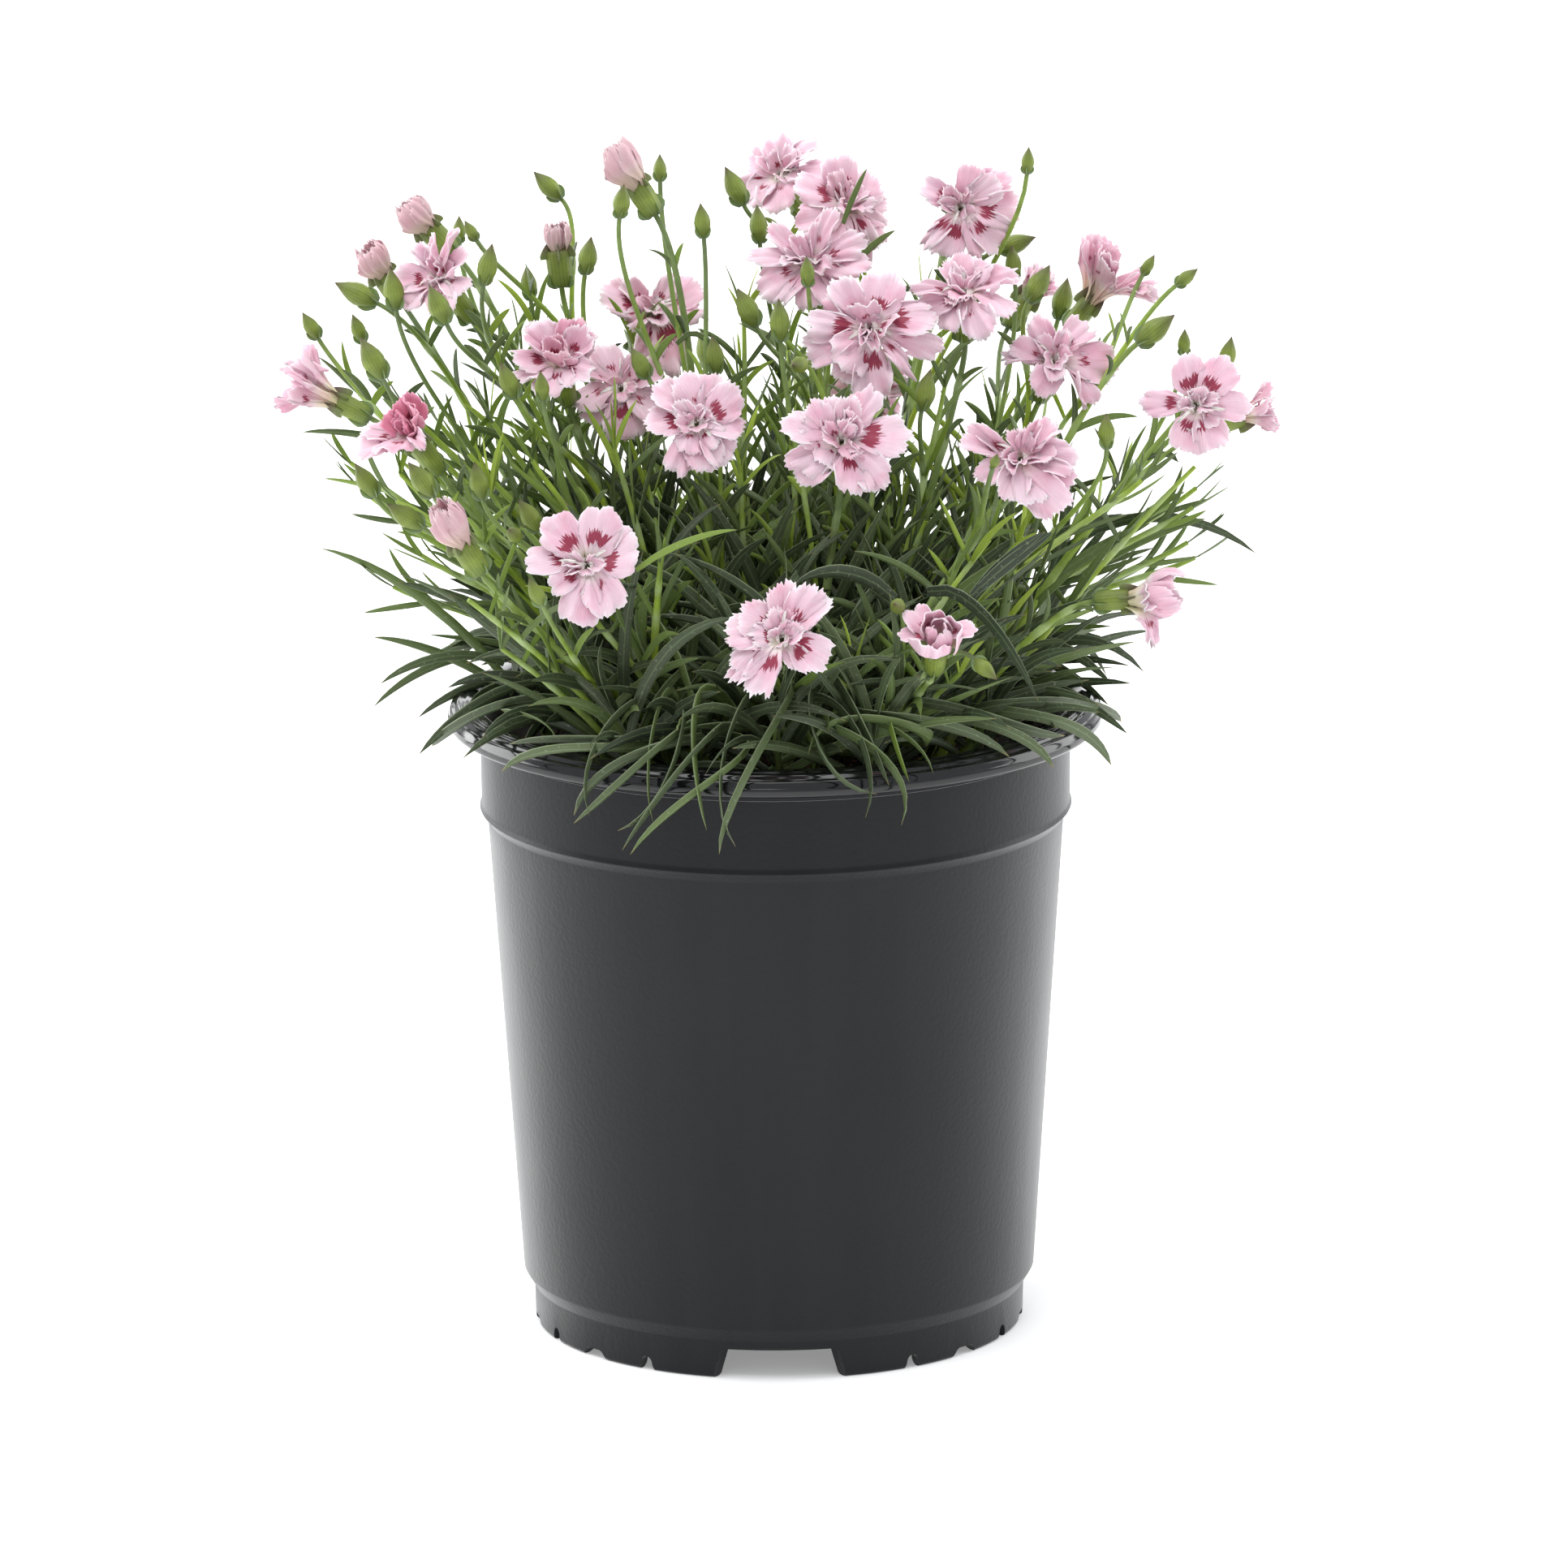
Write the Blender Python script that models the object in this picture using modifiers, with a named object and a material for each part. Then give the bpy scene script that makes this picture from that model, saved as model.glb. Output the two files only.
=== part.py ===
"""A potted dianthus: a black nursery pot, its potting mix, the leafy shoots and the flowering sprays.

Run it with: blender --background --python part.py
The frame: metres, +Z up, the origin on the pot's axis at the surface that it stands on, and -Y
towards the side that faces the viewer. Sizes below are in millimetres, and MM turns them to metres.
"""

import math
import random

import bmesh
import bpy
import numpy as np
from mathutils import Matrix, Vector

MM = 0.001
GAP = 0.35  # clear space between two pieces that touch, so that their meshes stay apart

# Driving sizes of the pot
RIM_RADIUS = 82.5
RIM_TOP = 161.0
BAND_RADIUS = 74.3
BAND_BOTTOM = 134.0
BODY_TOP_RADIUS = 72.6
BODY_FOOT_RADIUS = 64.6
FOOT_RADIUS = 61.8
FOOT_HEIGHT = 10.0
WALL = 1.3
POT_SIDES = 32
DISH = 1.9  # how far the pot's floor lies under the top of its foot
SLOT_PLACES = 22  # the drain slots stand at every 22nd of the turn
WIDE_SLOTS = (0, 11)  # the front one and the back one are nearly as high as the foot
NO_SLOT = (1, 10, 12, 21)  # the wall beside a wide slot is whole
SLOT_WIDTH = 3.6
SLOT_HEIGHT = 3.2
SLOT_DEPTH = 10.0
WIDE_SLOT_HEIGHT = 7.7
# Half the width of a wide slot at its foot and at its top, inside the wall and then outside it
WIDE_SLOT_SPREAD = ((7.4, 4.2), (22.7, 20.5))

# The potting mix, and the holes that the plant stands in
SOIL_TOP = 150.0
SOIL_MOUND = 1.5
STEM_FOOT_DEPTH = 6.5
STEM_HOLE_RADIUS = 3.1
CROWN_RADIUS = 6.5
CROWN_HEIGHT = 9.0

# The flowering sprays
STEM_RADIUS_LOW = 1.3
STEM_RADIUS_HIGH = 0.9
BRANCH_RADIUS = 0.8
CALYX_RADIUS = 2.8
SMALL_BLOOM = 17.0  # a bloom no wider than this has a calyx and a throat four fifths as wide
CALYX_LENGTH = {"open": 15.0, "cup": 14.0, "trumpet": 14.0, "tip": 12.0}
BUD_WIDTH = 0.3  # half a bud's width, as a share of its length
TIP_LENGTH = 0.66  # how long the rolled petals of an opening bud are, as a share of its size
FIRST_RISE = 18.0  # how far a stem runs straight up at least, before it leans
FORK_BELOW = 30.0  # how far under a side head its branch leaves the main stem
FORK_SHARES = (0.3, 0.86)
STEM_LEAVES = ((0.52, 22.0),)  # each pair's place along the stem, and its length
STEM_LEAF_WIDTH = 2.4
MAIN_STEM_STATIONS = (0, 0.08, 0.36, 0.7)  # places along a stem's curve, before its calyx
BRANCH_STATIONS = (0, 0.5)
SIGHT_SLOPE = 0.236  # how much lower a point looks for each unit that it is nearer to the viewer
SEED = 21

# Each spray: where its stem stands in the mix (x, y), then its heads, the main stem's head first.
# A head: kind, across, seen height, depth, size, and where it faces, as a turn from +X seen from
# above and a lift above the horizon, in degrees. The seen height is where the viewer sees the head
# against the pot's axis, so a head can be set deeper without seeming to move.
# An open head's place is its throat and its size is its width. A bud's place is its base and its
# size is its length.
SPRAYS = (
    ((-38, -4), (("trumpet", -113, 240, 2, 21, 166, 25), ("bud", -114, 254, 16, 8, 180, 60),
                 ("bud", -97, 243, -16, 12, 170, 62), ("bud", -103, 253, 26, 8, 180, 70))),
    ((-35, 14), (("tip", -93, 263, 34, 13, 180, 57), ("bud", -99, 263, 14, 12, 180, 27),
                 ("bud", -94, 261, 0, 11, 180, 83))),
    ((-28, 28), (("tip", -80, 276, 30, 13, 180, 45), ("bud", -79, 279, 46, 7, 90, 86))),
    ((-25, 5), (("open", -82, 268, 4, 21, -130, 48), ("bud", -72, 267, -6, 11, 0, 78),
                ("bud", -81, 257, -18, 11, 180, 67))),
    ((-35, -21), (("cup", -89, 228, -38, 20, -130, 48), ("bud", -84, 213, -52, 11, 190, 55),
                  ("bud", -99, 213, -30, 10, 180, 60), ("bud", -87, 205, -40, 11, 180, 35))),
    ((-27, -37), (("tip", -72, 193, -62, 15, 185, 58), ("bud", -57, 185, -76, 8, 190, 65))),
    ((-14, -33), (("open", -46, 195, -66, 30, -92, 24), ("bud", -58, 204, -50, 10, 200, 58),
                  ("bud", -63, 202, -60, 8, -110, 30), ("bud", -72, 212, -44, 10, 180, 78))),
    ((-21, -11), (("cup", -53, 246, -8, 24, -102, 52), ("bud", -64, 238, -22, 10, 180, 68),
                  ("bud", -57, 237, -30, 8, 180, 85))),
    ((-19, 20), (("tip", -53, 267, 28, 12, 180, 84), ("bud", -47, 270, 16, 10, 0, 80),
                 ("bud", -61, 264, 36, 9, 180, 84), ("bud", -53, 290, 40, 10, 180, 46))),
    ((-13, 5), (("tip", -29, 285, 8, 14, 180, 58), ("bud", -28, 294, 26, 7, 90, 80),
                ("bud", -38, 284, -2, 9, 0, 82))),
    ((-11, 29), (("open", -31, 260, 38, 23, -65, 48), ("open", -38, 240, 6, 22, -95, 38))),
    ((-8, -15), (("open", -19, 231, -32, 26, -88, 25), ("bud", -14, 244, -8, 10, 180, 84),
                 ("bud", -31, 243, -16, 9, 180, 62), ("bud", -17, 279, 4, 9, 180, 85))),
    ((3, 30), (("open", 3, 295, 58, 22, -125, 48), ("open", 18, 287, 44, 25, -60, 40),
               ("bud", -7, 288, 34, 11, 180, 65), ("bud", -3, 278, 26, 10, 180, 86))),
    ((2, 15), (("open", 10, 271, 10, 28, -100, 56), ("bud", -4, 256, -6, 11, 180, 65))),
    ((14, -6), (("open", 24, 255, -14, 34, -82, 26), ("bud", 9, 266, -14, 8, 180, 87))),
    ((7, -24), (("open", 17, 226, -42, 33, -92, 28), ("bud", 8, 246, -30, 9, -110, 12),
                ("bud", 2, 252, -20, 11, 180, 88))),
    ((18, 16), (("open", 47, 286, 20, 25, -82, 30), ("bud", 57, 276, 30, 10, 0, 19),
                ("bud", 64, 295, 14, 7, 0, 86))),
    ((22, -11), (("open", 48, 263, -6, 23, -92, 58), ("bud", 37, 234, -18, 11, 0, 78))),
    ((28, 4), (("open", 70, 246, -2, 25, -72, 48), ("bud", 64, 262, 4, 11, 0, 60),
               ("bud", 61, 268, 22, 9, 180, 85))),
    ((27, 23), (("trumpet", 83, 266, 24, 18, 0, 52), ("trumpet", 67, 268, 50, 15, 20, 55),
                ("bud", 72, 258, 32, 11, 0, 77))),
    ((38, -2), (("bud", 91, 251, -6, 12, 0, 38), ("bud", 101, 266, 4, 7, 0, 38),
                ("bud", 83, 224, -24, 9, 90, 85))),
    ((39, -19), (("open", 105, 235, -26, 28, -86, 16), ("bud", 113, 244, 0, 9, 0, 78),
                 ("bud", 103, 248, 8, 7, 0, 87), ("trumpet", 122, 234, -10, 12, 0, 20))),
    ((24, -33), (("open", 61, 221, -50, 31, -86, 36),)),
    ((36, -35), (("trumpet", 93, 186, -40, 16, -8, 6),)),
    ((3, -46), (("open", 2, 176, -84, 29, -94, 30),)),
    ((20, -47), (("cup", 40, 175, -78, 18, -86, 44), ("bud", 49, 171, -80, 8, -30, -35),
                 ("bud", 31, 184, -72, 8, -100, 20))),
    ((8, 44), (("open", 26, 238, 82, 27, 78, 30), ("bud", 8, 238, 84, 10, 100, 50),
               ("bud", -16, 246, 72, 11, 120, 66))),
)

# Radii of the balls that stand for a head in the tests of what is clear of what
CALYX_BALL = 3.3
TIP_BALL = 5.2
PETAL_BALL = 3.6
LEAF_BALL = 1.3

# The leafy shoots, which a crown joins: how many stand in a ring, how far out, and the first one's turn
SHOOT_RINGS = ((10, 47.0, 18.0), (4, 20.0, 40.0))
SHOOT_RADIUS = 1.9
SHOOT_HEIGHT = 18.0
ARM_HEIGHT = 5.2  # how high over the mix the arms run from the crown to the shoots
PAIRS_ON_A_SHOOT = 5
LEAF_LENGTH = (46.0, 74.0)
LEAF_WIDTH = (3.0, 4.4)
LEAF_DROOP = (0.3, 0.85)  # how far a leaf's tip is drawn down, as a share of how far out it reaches
LEAF_KEEL = 1.0  # how far a leaf's midrib stands out under it
LEAF_REACH = 97.0  # how far from the pot's axis a leaf may reach
OVER_MIX = 3.5  # how far a leaf keeps over the mix, over the rim, and how far under the band it may hang
OVER_RIM = 2.5
UNDER_BAND = 10.0
TRIES = 40

# How much higher a petal's point stands for each unit that it is further out: the outer petals,
# then the inner ones, whose reach is a share of the outer ones'
LAYERS = {"open": (0.22, 0.95, 0.60), "cup": (0.75, 1.6, 0.55), "trumpet": (1.05, None, None)}
PETALS = 5
PETAL_THICKNESS = 0.7
OUTER_TEETH = ((-0.66, 0.94), (0.0, 1.0), (0.66, 0.94))  # across a petal, -1 to 1, and how far out
INNER_TEETH = ((-0.5, 1.0), (0.5, 0.96))
NOTCH_REACH = 0.72  # how far out the notch between two petals lies, as a share of their reach
NOTCH_DIP = 0.06
PETAL_TILT = 0.08  # how far a petal leans to one side, and how far its teeth wave, as shares of its reach
PETAL_WAVE = 0.10
OUTER_LIFT = 1.4  # how far over the bloom's foot each layer starts
INNER_LIFT = 2.6
THROAT_REACH = 0.22

COLOURS = {
    "pot": (0.022, 0.023, 0.025),
    "mix": (0.030, 0.020, 0.014),
    "leaf": (0.040, 0.085, 0.050),
    "stem": (0.130, 0.230, 0.060),
    "petal": (0.780, 0.440, 0.560),
}


def direction(turn, lift):
    """A unit vector from a turn about +Z and a lift above the horizon, in degrees."""
    turn, lift = math.radians(turn), math.radians(lift)
    return np.array((math.cos(turn) * math.cos(lift), math.sin(turn) * math.cos(lift), math.sin(lift)))


def unit(vector):
    return vector / np.linalg.norm(vector)


def square_to(axis):
    """Two unit vectors square to an axis and to each other."""
    side = unit(np.cross(axis, (0.12, 0.19, 0.97)))
    return side, np.cross(axis, side)


def bezier(points, t):
    """The point at t on a cubic curve."""
    a, b, c, d = points
    s = 1 - t
    return s**3 * a + 3 * s * s * t * b + 3 * s * t * t * c + t**3 * d


def on_main(curve, t):
    """The point at t on a main stem, which runs straight from station to station of its curve."""
    places = (*MAIN_STEM_STATIONS, 1.0)
    stations = np.array([bezier(curve, place) for place in places])
    return np.array([np.interp(t, places, stations[:, i]) for i in range(3)])


def head_of(kind, across, seen, depth, size, turn, lift):
    """A head with its base, where its stem ends, and its mouth, where its petals start."""
    place = np.array((across, depth, seen - SIGHT_SLOPE * depth), float)
    axis = direction(turn, lift)
    length = size if kind == "bud" else CALYX_LENGTH[kind]
    base = place if kind in ("bud", "tip") else place - length * axis
    width = BUD_WIDTH * size if kind == "bud" else CALYX_RADIUS * (0.8 if size <= SMALL_BLOOM else 1.0)
    mouth = base + length * axis
    return {"kind": kind, "size": size, "axis": axis, "base": base, "mouth": mouth, "width": width}


def plan_sprays():
    """The curve of every stem and branch, with the head at its end."""
    sprays = []
    for root, rows in SPRAYS:
        foot = np.array((*root, SOIL_TOP - STEM_FOOT_DEPTH), float)
        heads = [head_of(*row) for row in rows]
        main = heads[0]
        span = np.linalg.norm(main["base"] - foot)
        rise = foot + (0.3 * span + FIRST_RISE) * np.array((0, 0, 1.0))
        main["curve"] = (foot, rise, main["base"] - 0.14 * span * main["axis"], main["base"])
        for head in heads[1:]:
            fork = (head["base"][2] - FORK_BELOW - foot[2]) / (main["base"][2] - foot[2])
            fork = min(FORK_SHARES[1], max(FORK_SHARES[0], fork))
            start = on_main(main["curve"], fork)
            ahead = unit(bezier(main["curve"], fork + 0.02) - bezier(main["curve"], fork))
            span = np.linalg.norm(head["base"] - start)
            before = head["base"] - 0.22 * span * head["axis"]
            head["curve"] = (start, start + 0.34 * span * ahead, before, head["base"])
        sprays.append(heads)
    return sprays


def ball_rows(points, radius, spray=-1):
    """Rows of x, y, z, radius and spray number, for the tests of what is clear of what."""
    points = np.atleast_2d(points)
    return np.column_stack((points, np.full(len(points), radius), np.full(len(points), spray)))


def head_balls(head, number):
    """Balls that cover a head: its calyx or bud, and its petals."""
    length = head["mouth"] - head["base"]
    rows = [ball_rows([head["base"] + t * length for t in np.linspace(0, 1, 6)], CALYX_BALL, number)]
    if head["kind"] == "tip":
        middles = [head["mouth"] + along * head["axis"] for along in (2.0, 5.0, 8.0)]
        rows.append(ball_rows(middles, TIP_BALL, number))
    elif head["kind"] != "bud":
        side, other = square_to(head["axis"])
        cone = LAYERS[head["kind"]][0]
        for reach in np.arange(0.0, head["size"] / 2 + 0.1, 3.0):
            for angle in np.linspace(0, 2 * math.pi, 10, endpoint=False):
                spoke = math.cos(angle) * side + math.sin(angle) * other
                spot = head["mouth"] + reach * spoke + (2.0 + cone * reach) * head["axis"]
                rows.append(ball_rows(spot, PETAL_BALL, number))
    return np.vstack(rows)


def balls_of(sprays):
    rows = []
    for number, heads in enumerate(sprays):
        for head in heads:
            stations = MAIN_STEM_STATIONS if head is heads[0] else BRANCH_STATIONS
            line = line_through([bezier(head["curve"], t) for t in (*stations, 1.0)])
            rows.append(ball_rows(line, STEM_RADIUS_LOW, number))
            rows.append(head_balls(head, number))
    return np.vstack(rows)


def line_through(stations, steps=12):
    """Points along straight runs from station to station."""
    return np.vstack([np.linspace(a, b, steps) for a, b in zip(stations, stations[1:])])


def room_round(points, balls, own=None):
    """The least distance from the points to the balls of every spray but one."""
    others = balls if own is None else balls[balls[:, 4] != own]
    away = np.linalg.norm(np.asarray(points)[:, None] - others[None, :, :3], axis=2) - others[None, :, 3]
    return away.min()


def leaf_path(leaf, shares):
    """Points along a leaf's rib: straight out from its root, and drawn down more and more to its tip."""
    s = np.asarray(shares, float)[:, None] * leaf["length"]
    return leaf["start"] + s * leaf["axis"] - leaf["droop"] * s**2 * np.array((0, 0, 1.0))


def leaf_is_clear(leaf, balls, own=None):
    """Whether a leaf passes every other spray, the pot and the mix."""
    points = leaf_path(leaf, np.linspace(0.1, 1, 20))
    out = np.hypot(points[:, 0], points[:, 1])
    height = points[:, 2]
    over_mix = out < BAND_RADIUS - 5
    over_rim = (out >= BAND_RADIUS - 5) & (out < RIM_RADIUS + 3)
    beside = out >= RIM_RADIUS + 3
    if (height[over_mix] < SOIL_TOP + OVER_MIX).any() or (height[over_rim] < RIM_TOP + OVER_RIM).any():
        return False
    if (height[beside] < BAND_BOTTOM - UNDER_BAND).any() or (out > LEAF_REACH).any():
        return False
    return room_round(points, balls, own) > 0.5 * leaf["width"] + GAP


def clear_pair(draw_leaf, balls, own=None):
    """The two leaves of an opposite pair, each drawn again until it is clear, or left out."""
    pair = []
    for half in (0, 180):
        for _ in range(TRIES):
            leaf = draw_leaf(half)
            if leaf_is_clear(leaf, balls, own):
                pair.append(leaf)
                break
    return pair


def plan_stem_leaves(sprays, balls):
    """The pairs of narrow leaves on the main stems, turned a quarter from one pair to the next."""
    draw = random.Random(SEED)
    pairs = []
    for number, heads in enumerate(sprays):
        curve = heads[0]["curve"]
        turn = draw.uniform(0, 180)
        for share, length in STEM_LEAVES:
            start = on_main(curve, share)
            along = unit(on_main(curve, share + 0.03) - start)

            def draw_leaf(half):
                out = direction(turn + half + draw.uniform(-35, 35), 0)
                return {
                    "start": start,
                    "axis": unit(along + draw.uniform(0.7, 1.3) * out),
                    "length": length * draw.uniform(0.8, 1.2),
                    "droop": draw.uniform(0.002, 0.012),
                    "width": STEM_LEAF_WIDTH,
                }

            pair = clear_pair(draw_leaf, balls, number)
            if pair:
                pairs.append((number, pair))
                whole = np.linspace(0, 1, 14)
                made = [ball_rows(leaf_path(leaf, whole), LEAF_BALL, number) for leaf in pair]
                balls = np.vstack([balls, *made])
            turn += 90
    return pairs, balls


def arm_path(place):
    """The stations of a leafy shoot: from the crown, out over the mix, then up."""
    x, y = place
    start = 3.0 / math.hypot(x, y)
    level = SOIL_TOP + ARM_HEIGHT
    return [
        np.array((start * x, start * y, level - 1.0)),
        np.array((0.9 * x, 0.9 * y, level)),
        np.array((x, y, level + 4.0)),
        np.array((1.04 * x, 1.04 * y, SOIL_TOP + SHOOT_HEIGHT)),
    ]


def plan_shoots(balls):
    """Where the leafy shoots stand: near their even places in the rings, where stems leave most room."""
    places = []
    for count, radius, phase in SHOOT_RINGS:
        for k in range(count):
            options = []
            for shift in np.linspace(-0.42, 0.42, 15):
                for reach in (radius - 4, radius, radius + 4):
                    place = reach * direction(phase + 360.0 * (k + shift) / count, 0)[:2]
                    options.append((room_round(line_through(arm_path(place)), balls), tuple(place)))
            places.append(max(options)[1])
    return places


def plan_foliage(shoots, balls):
    """The leaves of every shoot, in opposite pairs: the low ones spread and hang, the high ones stand."""
    draw = random.Random(SEED + 1)
    pairs = []
    own_numbers = [-2 - k for k in range(len(shoots))]
    arms = [line_through(arm_path(place)) for place in shoots]
    balls = np.vstack([balls] + [ball_rows(arm, SHOOT_RADIUS, own) for arm, own in zip(arms, own_numbers)])
    for own, place in zip(own_numbers, shoots):
        outward = math.degrees(math.atan2(place[1], place[0]))
        inner = math.hypot(*place) < 30
        path = arm_path(place)
        for level in range(PAIRS_ON_A_SHOOT):
            share = level / (PAIRS_ON_A_SHOOT - 1)
            start = path[2] + share * 0.85 * (path[3] - path[2])

            def draw_leaf(half):
                turn = outward + 90 * (level % 2) + half + draw.uniform(-40, 40)
                lift = (32 if inner else 14) + 44 * share + draw.uniform(-8, 14)
                length = draw.uniform(*LEAF_LENGTH) * (1.0 if inner else 1.0 - 0.2 * share)
                return {
                    "start": start,
                    "axis": direction(turn, lift),
                    "length": length,
                    "droop": draw.uniform(*LEAF_DROOP) * math.cos(math.radians(lift)) / length,
                    "width": draw.uniform(*LEAF_WIDTH),
                }

            pair = clear_pair(draw_leaf, balls, own)
            if pair:
                pairs.append(pair)
                outer = np.linspace(0.25, 1, 14)
                balls = np.vstack([balls] + [ball_rows(leaf_path(leaf, outer), 0.3) for leaf in pair])
    return pairs


def empty_scene():
    for obj in list(bpy.data.objects):
        bpy.data.objects.remove(obj, do_unlink=True)


def collection(name):
    made = bpy.data.collections.new(name)
    bpy.context.scene.collection.children.link(made)
    return made


def material(name, colour, roughness):
    made = bpy.data.materials.new(name)
    made.use_nodes = True
    shader = made.node_tree.nodes["Principled BSDF"]
    shader.inputs["Base Color"].default_value = (*colour, 1.0)
    shader.inputs["Roughness"].default_value = roughness
    shader.inputs["Metallic"].default_value = 0.0
    return made


def object_of(name, mesh, into, finish=None):
    obj = bpy.data.objects.new(name, mesh)
    into.objects.link(obj)
    if finish:
        mesh.materials.clear()
        mesh.materials.append(finish)
    return obj


def baked(obj):
    """The object's mesh with its modifiers applied, or a curve's as a mesh."""
    bpy.context.view_layer.update()
    graph = bpy.context.evaluated_depsgraph_get()
    return bpy.data.meshes.new_from_object(obj.evaluated_get(graph))


def tidied(mesh):
    """The mesh with its doubled points welded, its faces split into triangles and turned outwards."""
    shaped = bmesh.new()
    shaped.from_mesh(mesh)
    bmesh.ops.remove_doubles(shaped, verts=shaped.verts, dist=0.001 * MM)
    bmesh.ops.triangulate(shaped, faces=shaped.faces)
    bmesh.ops.recalc_face_normals(shaped, faces=shaped.faces)
    shaped.to_mesh(mesh)
    shaped.free()
    return mesh


def mesh_of(name, points, faces):
    """A mesh from points in millimetres."""
    mesh = bpy.data.meshes.new(name)
    mesh.from_pydata([Vector(p) * MM for p in points], [], faces)
    return tidied(mesh)


def turned(name, profile, into):
    """A solid turned round +Z from a profile of (radius, height) that starts and ends on the axis."""
    mesh = bpy.data.meshes.new(name)
    points = [Vector((radius, 0, height)) * MM for radius, height in profile]
    mesh.from_pydata(points, [(i, i + 1) for i in range(len(points) - 1)], [])
    obj = object_of(name, mesh, into)
    screw = obj.modifiers.new("turn", "SCREW")
    screw.steps = screw.render_steps = POT_SIDES
    screw.use_merge_vertices = True
    screw.merge_threshold = 0.01 * MM
    return obj


def cut_by(obj, shaped, name, cutters):
    """Cuts the object by the solids in a bmesh."""
    mesh = bpy.data.meshes.new(name)
    bmesh.ops.recalc_face_normals(shaped, faces=shaped.faces)
    shaped.to_mesh(mesh)
    shaped.free()
    cutter = object_of(name, mesh, cutters)
    cutter.hide_render = True
    cutter.display_type = "WIRE"
    cut = obj.modifiers.new(name, "BOOLEAN")
    cut.operation = "DIFFERENCE"
    cut.object = cutter


def fused(name, meshes, into, finish):
    """One object: the Boolean union of closed meshes."""
    pile = collection(name + "_pile")
    for mesh in meshes[1:]:
        object_of(mesh.name, mesh, pile)
    obj = object_of(name, meshes[0], into)
    union = obj.modifiers.new("join", "BOOLEAN")
    union.operation = "UNION"
    union.solver = "MANIFOLD"
    union.operand_type = "COLLECTION"
    union.collection = pile
    joined = baked(obj)
    obj.modifiers.remove(union)
    obj.data = joined
    for extra in list(pile.objects):
        bpy.data.objects.remove(extra, do_unlink=True)
    bpy.data.collections.remove(pile)
    obj.data.materials.clear()
    obj.data.materials.append(finish)
    return obj


def tube_mesh(name, stations, sides):
    """A tube through stations of (centre, radius), its ends filled, or a point where the radius is 0."""
    curve = bpy.data.curves.new(name, "CURVE")
    curve.dimensions = "3D"
    curve.bevel_depth = MM
    curve.bevel_resolution = {4: 0, 6: 1}[sides]
    curve.use_fill_caps = True
    spline = curve.splines.new("POLY")
    spline.points.add(len(stations) - 1)
    for point, (centre, radius) in zip(spline.points, stations):
        point.co = (*(Vector(centre) * MM), 1.0)
        point.radius = radius
    obj = bpy.data.objects.new(name, curve)
    bpy.context.scene.collection.objects.link(obj)
    mesh = baked(obj)
    bpy.data.objects.remove(obj, do_unlink=True)
    return tidied(mesh)


BUD_SHAPE = ((0.0, 0.5), (0.42, 1.0), (1.0, 0.0))
CALYX_SHAPE = ((0.06, 0.7), (0.5, 0.95), (1.0, 1.0))
TIP_SHAPE = ((0.0, 2.2), (0.4, 4.0), (0.8, 3.7), (1.0, 1.8))


def stem_mesh(name, head, radii, places, sides):
    """A stem or branch that swells at its end into its bud or calyx."""
    stations = [(bezier(head["curve"], t), radius) for t, radius in zip(places, radii)]
    shape = BUD_SHAPE if head["kind"] == "bud" else CALYX_SHAPE
    for share, radius in shape:
        stations.append((head["base"] + share * (head["mouth"] - head["base"]), radius * head["width"]))
    return tube_mesh(name, stations, sides)


def blade_pair_mesh(name, pair, shares):
    """An opposite pair of leaves in one strip through their stem, or one leaf: a flat top over a keel."""
    rings = []
    if len(pair) == 2:
        rings += [(pair[1], share, -1) for share in reversed(shares)]
    rings += [(pair[0], share, 1) for share in (0.0, *shares)]
    points, faces = [], []
    for leaf, share, way in rings:
        before, here, after = leaf_path(leaf, (share - 0.05, share, share + 0.05))
        ahead = unit(after - before) * way
        if share == 0 and len(pair) == 2:
            ahead = unit(pair[0]["axis"] - pair[1]["axis"])
        side = unit(np.cross((ahead[0], ahead[1], 0), (0, 0, 1.0)))
        up = np.cross(side, ahead)
        half = 0.5 * leaf["width"] * (0.62 + 1.2 * share - 1.5 * share**2)
        points += [here - half * side + 0.2 * up, here + half * side + 0.2 * up]
        points.append(here - LEAF_KEEL * (1 - 0.4 * share) * up)
    for i in range(len(rings) - 1):
        for k in range(3):
            a, b = 3 * i + k, 3 * i + (k + 1) % 3
            faces.append((a, b, b + 3, a + 3))
    last = 3 * (len(rings) - 1)
    points.append(leaf_path(pair[0], (1.0,))[0])
    faces += [(last + k, last + (k + 1) % 3, len(points) - 1) for k in range(3)]
    if len(pair) == 2:
        points.append(leaf_path(pair[1], (1.0,))[0])
        faces += [((k + 1) % 3, k, len(points) - 1) for k in range(3)]
    else:
        faces.append((2, 1, 0))
    return mesh_of(name, points, faces)


def ring_of_petals(reach, lift, teeth, draw, turn):
    """A layer's rim as (turn, out, height): for each petal its notch, then its teeth."""
    rim = []
    for k in range(PETALS):
        notch = 360.0 * (k - 0.5) / PETALS + turn
        rim.append((notch, NOTCH_REACH * reach, NOTCH_REACH * lift - NOTCH_DIP * reach))
        long = reach * draw.uniform(0.94, 1.04)
        tilt = draw.uniform(-1, 1) * PETAL_TILT * reach
        for across, out in teeth:
            waved = tilt * across + draw.uniform(-0.5, 0.5) * PETAL_WAVE * reach
            rim.append((notch + 360.0 / PETALS * (0.5 + 0.5 * across), out * long, out * lift + waved))
    return rim


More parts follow.
